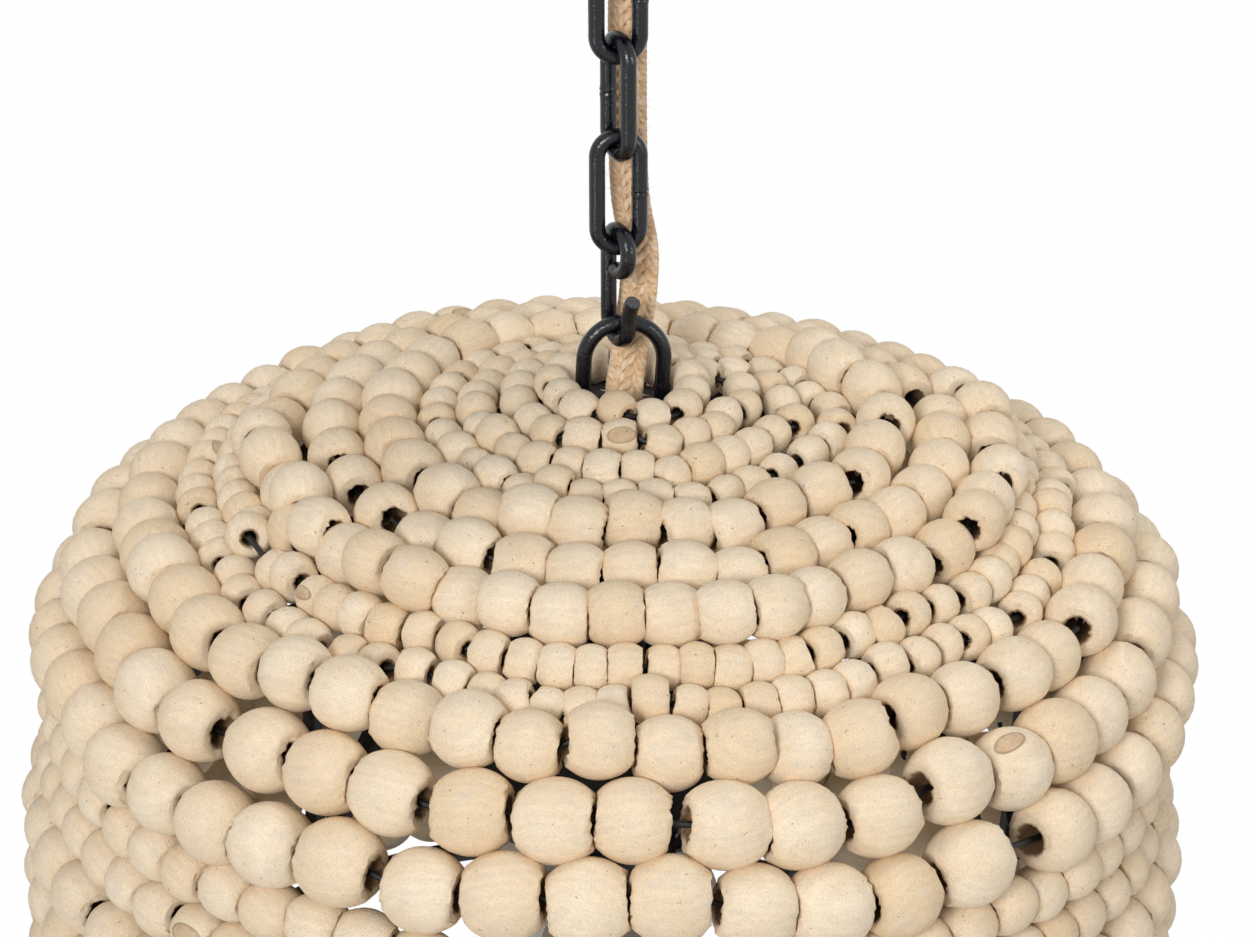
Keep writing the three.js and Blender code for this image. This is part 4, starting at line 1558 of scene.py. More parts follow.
@dataclass
class BeadRows:
    """Rows of wooden beads on their wires, tied to the ribs.

    Each row names its beads' kind and how far they lean. The middles of the beads that the
    photograph shows were read off it, in its pixels, row by row from the crown. Each goes
    where the skin shows at that pixel. Between them, and round the back, beads fill the wire.
    Showing names beads, by row and turn in degrees, whose bores are turned to the viewer.
    Squeeze is the share of a bead that a gap may lack and still take one more, and fade is the
    turn over which a seen bead's step dies away. Give is the share of an overlap that each round
    of settling takes away.
    """

    rows: tuple = (
        (SMALL, 13.0), (SMALL, 10.0), (SMALL, 9.0), (SMALL, 8.0), *((MEDIUM, 7.0),) * 3,
        (FINE, 7.0), (FINE, 7.0), (BROAD, 5.0), (GRAND, 5.0), (GRAND, 4.0),
        (LOWER, 3.5), (LOWER, 3.5), *((LARGE, 3.0),) * 6,
    )
    seen_px: tuple = (
        ((563, 397), (580, 412), (617, 411), (652, 421), (685, 411)),
        ((519, 403), (533, 422), (550, 433), (582, 440), (620, 438), (662, 449), (692, 438),
         (722, 418), (743, 408), (746, 390)),
        ((476, 403), (482, 427), (495, 440), (512, 449), (540, 463), (570, 468), (602, 472),
         (636, 471), (667, 478), (724, 460), (749, 452), (771, 435), (775, 387), (783, 404),
         (794, 424)),
        ((438, 423), (447, 440), (475, 465), (502, 484), (527, 487), (549, 490), (583, 495),
         (616, 499), (657, 495), (690, 503), (722, 490), (751, 486), (777, 472), (808, 456),
         (816, 398), (828, 443), (835, 408), (842, 428)),
        ((388, 425), (395, 445), (417, 468), (450, 502), (484, 520), (525, 520), (575, 530),
         (629, 525), (678, 530), (732, 533), (820, 494), (832, 384), (864, 482), (866, 396),
         (872, 455), (886, 426)),
        ((337, 457), (347, 485), (392, 518), (428, 547), (473, 550), (524, 570), (576, 572),
         (630, 573), (685, 576), (737, 580), (778, 560), (825, 548), (862, 533), (898, 520),
         (923, 495), (943, 447), (943, 472), (945, 420)),
        ((262, 455), (278, 475), (293, 493), (300, 525), (302, 513), (318, 540), (345, 553),
         (378, 577), (415, 595), (463, 597), (512, 613), (563, 622), (620, 625), (676, 622),
         (722, 628), (767, 622), (813, 600), (858, 588), (900, 568), (945, 545), (967, 535),
         (985, 512), (997, 490)),
        ((238, 485), (247, 515), (254, 531), (261, 547), (278, 565), (290, 578), (314, 600),
         (337, 612), (364, 620), (392, 630), (425, 632), (458, 645), (489, 660), (523, 668),
         (557, 674), (592, 675), (626, 675), (663, 665), (697, 668), (730, 672), (762, 665),
         (793, 662), (822, 650), (852, 635), (882, 625), (908, 615), (938, 605), (968, 590),
         (982, 577), (997, 563), (1010, 550)),
        ((200, 508), (207, 528), (215, 541), (222, 560), (231, 574), (242, 590), (264, 607),
         (292, 625), (313, 640), (345, 650), (418, 665), (454, 682), (488, 690), (518, 698),
         (549, 703), (583, 705), (645, 698), (695, 705), (725, 706), (755, 700), (788, 695),
         (820, 690), (850, 685), (880, 662), (912, 655), (940, 645), (987, 627), (1017, 610),
         (1033, 597), (1045, 577), (1048, 503), (1048, 517), (1048, 530), (1052, 547), (1055, 487)),
        ((177, 583), (190, 600), (212, 637), (258, 660), (308, 675), (358, 695), (412, 715),
         (475, 728), (532, 743), (600, 740), (667, 752), (731, 753), (793, 752), (852, 735),
         (905, 710), (960, 697), (1014, 672), (1043, 655)),
        ((203, 718), (268, 750), (327, 770), (393, 792), (473, 812), (556, 820), (636, 826),
         (727, 820), (797, 822), (877, 815), (945, 778), (1010, 770), (1053, 742)),
        ((168, 795), (216, 822), (272, 848), (340, 862), (425, 890), (506, 896), (586, 900),
         (668, 893), (755, 903), (825, 902), (898, 893), (968, 867), (1050, 836)),
    )
    showing: tuple = (
        (4, -85), (5, -86), (6, -79), (7, -88), (8, -84), (9, -83), (6, -56), (8, -66),
        (9, -68), (9, -32), (6, 54), (7, 65), (7, 84), (9, 88), (8, 47), (9, 64), (9, 50),
        (10, 68), (3, -95), (4, 60), (5, 70),
    )
    search_deg: tuple = (-125, 125, 0.25)
    search_mm: tuple = (-14, 14, 0.25)
    cost_px: float = 0.08
    slack: float = 1.015
    squeeze: float = 0.35
    seen_gap: float = 0.5
    fade: float = 0.2
    stagger: float = 0.4
    jitter: float = 0.05
    uneven: float = 0.4 * MM
    uneven_behind: float = 0.5 * MM
    sag_at_rib: float = -1.0 * MM
    sag_between: float = 2.6 * MM
    hang_share: float = 0.45
    wander: float = 0.5 * MM
    chord: float = 0.02
    chord_from_deg: float = 95
    chord_over_deg: float = 15
    neighbours: float = 28 * MM
    rounds: int = 60
    nested: float = 0.965
    strung: float = 0.985
    give: float = 0.3
    most_out: float = 5 * MM
    most_in: float = 1 * MM
    most_aside: float = 2 * MM
    lump: float = 0.013
    lump_waves: int = 4
    chipped: float = 0.024
    rim_wear: float = 0.07
    length_spread: float = 0.02
    slope_deg: float = 9
    tone_shape: tuple = (1.2, 2.6)
    strong_tilt: float = 0.12
    tilt_sizes: tuple = (2.4, 0.7)
    most_tilt: float = 1.6
    turned_to_viewer: float = 0.9
    viewer: tuple = (0, -0.92, 0.38)
    knotted: float = 0.035
    knot_along: float = 0.45
    knot_size: tuple = (0.25, 0.55)
    knot_long: tuple = (1.2, 1.9)
    knot_wide: float = 0.8
    no_knot: float = 9.0
    wire: float = 0.9 * MM
    wire_share: float = 0.42
    wire_sides: int = 6
    tie_wire: float = 0.55 * MM
    tie_sides: int = 5
    tie_gap: float = 0.5 * MM
    tie_inset: float = 1 * MM
    tie_spread: float = 0.8 * MM
    tie_round: float = 1.5 * MM
    tie_twist: float = 3.6 * MM
    tail_mm: tuple = (6, 11)
    tail_steps: int = 15
    tail_coil: float = 0.9
    sharp_deg: float = 48
    seed: int = 23

    def build(self) -> Made:
        """Make each row's beads, the rows' wires, and the wires that tie them to the ribs.

        Returns:
            Their objects.
        """
        rng = np.random.default_rng(self.seed)
        skin = Skin()
        nodes = [f"bead_row_{k + 1:02d}" for k in range(len(self.rows))]
        seats = [self._seats(skin, k, skin.nearest(node), rng) for k, node in enumerate(nodes)]
        sizes = []
        for (kind, _), (turns, _) in zip(self.rows, seats):
            most = 2.2 * kind.spread
            sizes.append(1 + np.clip(rng.normal(0, kind.spread, len(turns)), -most, most))
        middles = self._settled(skin, seats, sizes)
        made, bores = [], []
        for k, (kind, tilt) in enumerate(self.rows):
            part = Piece(f"beads_{k + 1:02d}", WOOD)
            axes = self._axes(k, seats[k][0], middles[k], tilt, rng)
            self._beads(part, kind, middles[k], axes, sizes[k], rng)
            along = np.roll(middles[k], -1, axis=0) - np.roll(middles[k], 1, axis=0)
            bores.append(axes[:, 0] * np.sign((axes[:, 0] * along).sum(1))[:, None])
            made.append(part.ride("shade", nodes[k], sharp_deg=self.sharp_deg))
        return [*made, self._wires(middles, bores), self._ties(skin, seats, middles, rng)]

    @staticmethod
    def _between(turn: Points) -> Points:
        """0 at each rib and 1 half-way between two, by the turn from the front."""
        cage = Ribcage()
        return (1 - np.cos(cage.count * (turn - math.radians(cage.phase_deg + 90)))) / 2

    def _sag(self, turn: Points, radius: float, hanging: bool) -> Points:
        """How far along the ribs a row hangs, least where it is tied.

        Args:
            turn: The beads' turns from the front.
            radius: The row's radius.
            hanging: Whether the row is below those that the photograph shows.

        Returns:
            How far each bead hangs.
        """
        size = radius / MM
        share = min(1.0, radius / 100 / MM) * (self.hang_share if hanging else 1)
        drift = np.sin(3 * turn + 0.7) * 0.6 + np.sin(5 * turn + 2.1 + size) * 0.5
        own = np.sin(7 * turn + radius * 77 / MM) * 0.35 + np.sin(11 * turn + size) * 0.3
        sag = self.sag_at_rib + (self.sag_between - self.sag_at_rib) * self._between(turn)
        return share * (sag + self.wander * (drift + own))

    def _marks(self, skin: Skin, row: int, start: float) -> list[tuple[float, float]]:
        """Where the photographed beads of a row sit.

        Args:
            skin: The ribs' outer skin.
            row: The row's number from 0.
            start: How far along the ribs the row is in the frame.

        Returns:
            Each bead's turn from the front, and its step along the ribs from the row's place.
        """
        off = self.rows[row][0].stand_off()
        turns, steps = np.meshgrid(np.radians(np.arange(*self.search_deg)),
                                   np.arange(*self.search_mm) * MM, indexing="ij")
        places = Studio().pixels(moved(skin.place(start + steps, turns, off), leaned()))
        marks = []
        for pixel in self.seen_px[row]:
            miss = np.linalg.norm(places - pixel, axis=2) + np.abs(steps) / MM * self.cost_px
            best = np.unravel_index(int(np.argmin(miss)), miss.shape)
            marks.append((float(turns[best]), float(steps[best])))
        return sorted(marks)

    def _seats(self, skin: Skin, row: int, start: float, rng: Random) -> tuple[Points, Points]:
        """Where a row's beads go before they settle.

        Args:
            skin: The ribs' outer skin.
            row: The row's number from 0.
            start: How far along the ribs the row is in the frame.
            rng: The random numbers.

        Returns:
            Their turns from the front, and how far along the ribs they are.
        """
        kind = self.rows[row][0]
        radius = float(np.hypot(*skin.place(start, 0.0, kind.stand_off())[:2]))
        pitch = kind.length * self.slack / radius
        hanging = row >= len(self.seen_px)
        marks = [(self.stagger * row * pitch, 0.0)] if hanging else self._marks(skin, row, start)
        marks.append((marks[0][0] + TURN, marks[0][1]))
        turns, steps = [], []
        for (t0, step0), (t1, step1) in zip(marks, marks[1:]):
            count = max(1, int((t1 - t0) / pitch + (self.squeeze if t1 - t0 < 1 else 0.0)))
            share = np.arange(count) / count
            turn = t0 + (t1 - t0) * share
            turn[1:] += rng.normal(0, self.jitter, count - 1) * pitch
            if t1 - t0 < self.seen_gap:
                even = step0 + (step1 - step0) * share
                step = even + rng.normal(0, self.uneven, count) * (share > 0)
            else:
                near, far = (np.exp(-gap / self.fade) * (not hanging)
                             for gap in (turn - t0, t1 - turn))
                step = self._sag(turn, radius, hanging) * (1 - near) * (1 - far)
                step += step0 * near + step1 * far
                stray = rng.normal(0, self.uneven_behind, count)
                step += stray * (share > 0) * (0.5 if hanging else 1)
            turns.append(turn)
            steps.append(start + step)
        return np.concatenate(turns), np.concatenate(steps)

    def _settled(self, skin: Skin, seats: list, sizes: list) -> list[Points]:
        """The beads' middles once they have pushed each other aside and outwards.

        Args:
            skin: The ribs' outer skin.
            seats: Each row's turns and places along the ribs.
            sizes: Each row's bead sizes, about 1.

        Returns:
            Each row's middles, in the shade's own frame.
        """
        row_of = np.concatenate([np.full(len(seat[0]), k) for k, seat in enumerate(seats)])
        turn, along = (np.concatenate(values) for values in zip(*seats))
        size = np.concatenate(sizes)
        diameter = np.array([self.rows[k][0].diameter for k in row_of]) * size
        length = np.array([self.rows[k][0].length for k in row_of]) * size
        off = diameter / 2 + SEAT_GAP
        away = np.abs(np.degrees(np.arctan2(np.sin(turn), np.cos(turn))))
        side = np.clip((away - self.chord_from_deg) / self.chord_over_deg, 0, 1)
        start = skin.place(along, turn, off)
        start[:, :2] *= (1 - self.chord * self._between(turn) * side)[:, None]
        outward = unit(skin.place(along, turn, off + MM) - skin.place(along, turn, off))
        apart = np.linalg.norm(start[:, None] - start[None], axis=2)
        first, second = np.nonzero(np.triu(apart < self.neighbours, 1))
        need = np.where(row_of[first] == row_of[second],
                        (length[first] + length[second]) / 2 * self.strung,
                        (diameter[first] + diameter[second]) / 2 * self.nested)
        here = start.copy()
        for _ in range(self.rounds):
            apart = here[first] - here[second]
            distance = np.linalg.norm(apart, axis=1)
            short = np.maximum(need - distance, 0)[:, None]
            push = short * apart / distance[:, None] * self.give
            np.add.at(here, first, push)
            np.add.at(here, second, -push)
            moved_by = here - start
            out = (moved_by * outward).sum(1)
            aside = moved_by - outward * out[:, None]
            reach = np.linalg.norm(aside, axis=1)
            aside *= np.minimum(1, self.most_aside / np.maximum(reach, 1e-9))[:, None]
            here = start + aside + outward * np.clip(out, -self.most_in, self.most_out)[:, None]
        return [here[row_of == k] for k in range(len(seats))]

    def _axes(self, row: int, turn: Points, middles: Points, tilt: float, rng: Random) -> Points:
        """Each bead's three axes, the bore's first.

        Args:
            row: The row's number from 0.
            turn: The beads' turns from the front.
            middles: Their middles.
            tilt: How far they lean off their wire, in degrees, as a spread.
            rng: The random numbers.

        Returns:
            The axes.
        """
        count = len(turn)
        tangent = unit(np.roll(middles, -1, axis=0) - np.roll(middles, 1, axis=0))
        radial = unit(middles * (1, 1, 0))
        up = unit(np.cross(tangent, radial))
        strong = rng.uniform(size=count) < self.strong_tilt
        spread = np.where(strong, *self.tilt_sizes) * math.radians(tilt)
        leans = np.clip(rng.normal(0, 1, (count, 2)), -self.most_tilt, self.most_tilt)
        leans *= spread[:, None]
        first = tangent + radial * leans[:, :1] + up * leans[:, 1:]
        viewer = np.array(self.viewer)
        for seen_row, seen_turn in self.showing:
            if seen_row == row + 1:
                nearest = int(np.argmin(np.abs(np.degrees(turn) - seen_turn)))
                way = 1 if first[nearest] @ viewer > 0 else -1
                first[nearest] += way * viewer * self.turned_to_viewer
        first = unit(first)
        roll = rng.uniform(0, TURN, (count, 1))
        side = unit(np.cross(first, radial))
        second = np.cross(side, first) * np.cos(roll) + side * np.sin(roll)
        return np.stack([first, second, np.cross(first, second)], axis=1)

    def _beads(self, part: Piece, kind: BeadKind, middles: Points, axes: Points, sizes: Points,
               rng: Random) -> None:
        """Add a row's beads to its piece.

        Args:
            part: The row's piece.
            kind: The beads' kind.
            middles: Their middles, in the shade's own frame.
            axes: Their axes.
            sizes: How large each is, about 1.
            rng: The random numbers.
        """
        base, faces = kind.template()
        count, radius = len(middles), kind.diameter / 2
        around = np.arctan2(base[:, 2], base[:, 1])
        radial = np.hypot(base[:, 1], base[:, 2]) / radius
        outside = np.clip((radial - 0.4) / 0.3, 0, 1)
        phases = rng.uniform(0, TURN, (self.lump_waves, count, 1))
        lumps = sum(np.sin((j + 1) * around + phases[j] + base[:, 0] / radius * (j - 1))
                    for j in range(self.lump_waves))
        scale = sizes[:, None] + self.lump / 2 * lumps * outside
        shapes = base[None] * scale[:, :, None]
        ends = np.abs(base[:, 0]) > kind.length / 2 * 0.9
        shapes[:, :, 0] += rng.normal(0, self.chipped * radius, (count, len(base))) * ends
        rim = ends & (radial < kind.bore_share * 1.3)
        worn = rng.normal(0, self.rim_wear, (count, len(base))) * rim
        shapes[:, :, 1:] *= (1 + worn)[:, :, None]
        shapes[:, :, 0] *= np.clip(rng.normal(1, self.length_spread, count), 0.95, 1.03)[:, None]
        points = np.einsum("nmi,nij->nmj", shapes, axes) + middles[:, None]

        shift = rng.uniform(-1, 1, (count, 1, 3))
        slope = np.radians(rng.normal(0, self.slope_deg, (count, 1)))
        grain = base[None].repeat(count, 0) + shift
        grain[:, :, 1] += np.tan(slope) * base[:, 0]
        tone = np.clip(rng.beta(*self.tone_shape, count), 0, 1)
        knots = np.full((count, len(base), 3), self.no_knot)
        for k in np.nonzero(rng.uniform(size=count) < self.knotted)[0]:
            spot = rng.uniform(0, TURN)
            along = rng.uniform(-self.knot_along, self.knot_along)
            at = np.array([along, math.cos(spot), math.sin(spot)]) * radius
            size = rng.uniform(*self.knot_size) * radius
            long, wide = rng.uniform(*self.knot_long), self.knot_wide
            knots[k] = (base - at) / (size * np.array((long, wide, wide)))
        firsts = np.arange(count)[:, None, None] * len(base)
        faces = (np.array(faces)[None] + firsts).reshape(-1, 4).tolist()
        part.add((points.reshape(-1, 3), faces), leaned(), grain=grain.reshape(-1, 3),
                 knot=knots.reshape(-1, 3), turning=np.tile(base / radius, (count, 1)),
                 tone=np.repeat(tone, len(base)))

    def _wires(self, middles: list[Points], bores: list[Points]) -> bpy.types.Object:
        """The wire of each row, in at one end of each bore and out at the other.

        Args:
            middles: Each row's middles.
            bores: Each row's bores, all the same way round.

        Returns:
            The wires' object.
        """
        part = Piece("bead_wires", WIRE)
        for (kind, _), row, bore in zip(self.rows, middles, bores):
            reach = kind.length * self.wire_share * bore
            line = np.stack([row - reach, row + reach], axis=1).reshape(-1, 3)
            section = round_section(self.wire_sides) * self.wire
            part.add(swept(line, (0, 0, 1), section, 1.0, True), leaned())
        return part.ride("shade")

    def _ties(self, skin: Skin, seats: list, middles: list[Points], rng: Random) -> bpy.types.Object:
        """The thin wires that tie each row to each rib, with twisted ends inside.

        Args:
            skin: The ribs' outer skin.
            seats: Each row's turns and places along the ribs.
            middles: Each row's middles.
            rng: The random numbers.

        Returns:
            The ties' object.
        """
        part = Piece("tie_wires", WIRE)
        cage = Ribcage()
        side = cage.thickness / 2 + self.tie_gap
        for (kind, _), (turns, alongs), row in zip(self.rows, seats, middles):
            far = kind.stand_off() + cage.depth + self.tie_gap
            near = kind.diameter / 2 - self.tie_inset
            gaps = (row + np.roll(row, -1, axis=0)) / 2
            for azimuth in map(math.radians, cage.azimuths()):
                turn = azimuth + TURN / 4
                heading = np.array((math.cos(azimuth), math.sin(azimuth)))
                gap = gaps[int(np.argmax(unit(gaps[:, :2]) @ heading))]
                off = (turns - turn + math.pi) % TURN - math.pi
                along = float(alongs[int(np.argmin(np.abs(off)))])
                start = skin.place(along, turn, kind.stand_off())
                outward = unit(skin.place(along, turn, kind.stand_off() + MM) - start)
                tangent = np.array((-heading[1], heading[0], 0))
                axes = np.stack([tangent, outward, np.cross(tangent, outward)])
                x, y, z = axes @ (gap - start)
                top = y + self.tie_spread
                loop = softened([(x + self.tie_spread, top), (side, -near), (side, -far),
                                 (-side, -far), (-side, -near), (x - self.tie_spread, top)],
                                self.tie_round, 2)
                rise = np.clip((loop[:, 1] + near) / (near + y), 0, 1)
                points = np.column_stack([loop, z * rise]) @ axes + start
                section = round_section(self.tie_sides) * self.tie_wire
                part.add(swept(points, axes[2], section, 1.0, True), leaned())
                tail = np.array((side * rng.choice((-1, 1)), -far, 0))
                place = Matrix(axes.T.tolist()).to_4x4()
                place.translation = Vector(start)
                self._tail(part, leaned() @ place, tail, rng)
        return part.ride("shade")

    def _tail(self, part: Piece, place: Matrix, start: Points, rng: Random) -> None:
        """Add a tie's two ends, twisted together.

        Args:
            part: The ties' piece.
            place: Where the tie is.
            start: Where on the tie the ends begin.
            rng: The random numbers.
        """
        away = unit(np.array((np.sign(start[0]) * rng.uniform(0.4, 1), rng.uniform(-0.5, 0.4),
                              rng.uniform(-1, 1))))
        t = np.linspace(0, 1, self.tail_steps)[:, None]
        reach = rng.uniform(*self.tail_mm) * MM
        side = unit(np.cross(away, (0.3, 0.2, 0.9)))
        other = np.cross(away, side)
        section = round_section(self.tie_sides) * self.tie_wire
        for half in (0, math.pi):
            turn = t * reach / self.tie_twist * TURN + half
            coil = (side * np.cos(turn) + other * np.sin(turn)) * self.tie_wire * self.tail_coil
            line = start + away * reach * t + coil
            part.add(swept(line, ASKEW, section), place)


# The lamps


@dataclass
class LampCluster:
    """A stem under the hub, a flared cover, and three round frosted lamps in their holders."""

    stem_radius: float = 6.5 * MM
    stem_bore: float = 4.2 * MM
    stem_length: float = 68 * MM
    bell_top: float = 31 * MM
    bell_low: float = 46 * MM
    bell_height: float = 56 * MM
    bell_flare: float = 1.2 * MM
    wall: float = 2 * MM
    recess: float = 6 * MM
    lamps: int = 3
    socket_radius: float = 15.5 * MM
    socket_height: float = 30 * MM
    socket_circle: float = 25 * MM
    socket_top: float = 3 * MM
    grip_depth: float = 0.8 * MM
    rim: float = 4 * MM
    cap_length: float = 24 * MM
    cap_gap: float = 0.4 * MM
    bulb_radius: float = 19.5 * MM
    bulb_turn_deg: float = 52
    neck_radius: float = 11 * MM
    neck_length: float = 14 * MM
    thread_pitch: float = 3.6 * MM
    thread_depth: float = 0.45 * MM
    fine_edge: float = 0.5 * MM
    edge: float = 0.6 * MM
    around: int = 56
    stem_around: int = 40
    bell_around: int = 96
    thread_steps: int = 34

    def build(self) -> Made:
        """Make the stem, the cover, and each lamp with its holder.

        Returns:
            Their objects, and the frame's own that stay.
        """
        stem_top = HUB_TOP - HUB_HEIGHT - SEAT_GAP
        stem_low = stem_top - self.stem_length
        bell_top = stem_low - SEAT_GAP
        socket_top = bell_top - self.bell_height + self.recess - SEAT_GAP
        corners = box_of(self.stem_bore, self.stem_radius, stem_low, stem_top + SEAT_GAP)
        stem = Piece("stem_tube", CHARCOAL).lathe(corners, self.fine_edge, self.stem_around, leaned())
        made = [stem.ride("shade", "lamp_stem"), self._bell(bell_top)]
        for k in range(self.lamps):
            turn = TURN * k / self.lamps - TURN / 4
            spot = (math.cos(turn) * self.socket_circle, math.sin(turn) * self.socket_circle, 0)
            place = leaned() @ Matrix.Translation(spot)
            made += [self._holder(k + 1, socket_top, place), *self._lamp(k + 1, socket_top, place)]
        for node, finish, edge in (("stem_top_nut", ZINC, self.fine_edge),
                                   ("stem_lower_nut", ZINC, self.fine_edge),
                                   ("socket_plate", CHARCOAL, self.edge)):
            made.append(dressed(node, finish, edge))
        return made

    def _bell(self, top: float) -> bpy.types.Object:
        """The flared cover, spun from sheet, with a rolled rim.

        Args:
            top: The height of its top.

        Returns:
            Its object.
        """
        low, flare = top - self.bell_height, self.bell_flare
        skin = spline([
            (AXIS_HOLE, top), (self.bell_top * 0.8, top), (self.bell_top * 0.985, top - 1.4 * MM),
            (self.bell_top + flare, top - 6 * MM), (self.bell_low - flare, low + 5 * MM),
            (self.bell_low, low + 0.8 * MM)], 6)
        inner = skin - beside(skin) * self.wall
        inner[:, 0] = np.maximum(inner[:, 0], AXIS_HOLE)
        lip = arc((self.bell_low - self.wall / 2, low + 0.9 * MM), self.wall / 2, 0, -180, 6)
        profile = np.concatenate([skin, lip[1:-1], inner[::-1]])[::-1]
        part = Piece("lamp_cover", CHARCOAL).add(turned(profile, self.bell_around), leaned())
        return part.ride("shade", "lamp_bell")

    def _holder(self, number: int, top: float, place: Matrix) -> bpy.types.Object:
        """One holder, a ribbed resin cup with its mouth down.

        Args:
            number: Its number.
            top: The height of its top.
            place: Where it goes.

        Returns:
            Its object.
        """
        low, bore, outer = top - self.socket_height, self.socket_radius - self.wall, self.socket_radius
        grip = outer - self.grip_depth
        corners = [(bore, low), (outer, low), (outer, low + self.rim),
                   (grip, low + (self.rim + self.grip_depth)), (grip, top - 5 * MM),
                   (outer, top - self.rim), (outer, top), (AXIS_HOLE, top),
                   (AXIS_HOLE, top - self.socket_top), (bore, top - self.socket_top)]
        part = Piece(f"holder_{number}", RESIN).lathe(corners, self.edge, self.around, place)
        return part.ride("shade", f"lamp_socket_{number}")

    def _lamp(self, number: int, socket_top: float, place: Matrix) -> Made:
        """One lamp: its frosted glass, and its threaded cap in the holder.

        Args:
            number: Its number.
            socket_top: The height of its holder's top.
            place: Where it goes.

        Returns:
            The glass and the cap.
        """
        top = socket_top - self.socket_top - SEAT_GAP
        low = top - self.cap_length
        cap = self.socket_radius - self.wall - self.cap_gap
        rise = self.bulb_radius * math.sin(math.radians(self.bulb_turn_deg))
        middle = (0, low - self.neck_length - rise)
        globe = arc(middle, self.bulb_radius, -89.5, self.bulb_turn_deg, 24)
        neck = spline([globe[-1], (self.neck_radius + 1.2 * MM, low - 8 * MM),
                       (self.neck_radius, low - 2 * MM), (self.neck_radius, low + 2 * MM),
                       (AXIS_HOLE, low + 2 * MM)], 6)
        glass = Piece(f"lamp_{number}", GLASS)
        glass.add(turned(np.concatenate([globe, neck[1:]]), self.around), place)
        height = np.linspace(low, top - 4 * MM, self.thread_steps)
        wave = np.sin((height - low) / self.thread_pitch * TURN) * self.thread_depth
        wall = np.column_stack([cap - 0.5 * MM + wave, height])
        tip = [(cap - 3 * MM, top - 2 * MM), (4 * MM, top - 1 * MM), (4 * MM, top),
               (AXIS_HOLE, top), (AXIS_HOLE, low)]
        metal = Piece(f"lamp_cap_{number}", ZINC)
        metal.add(turned(np.concatenate([wall, tip]), self.around), place)
        return [glass.ride(f"bulb_{number}", f"bulb_{number}"), metal.ride(f"bulb_{number}")]


# The ceiling fitting


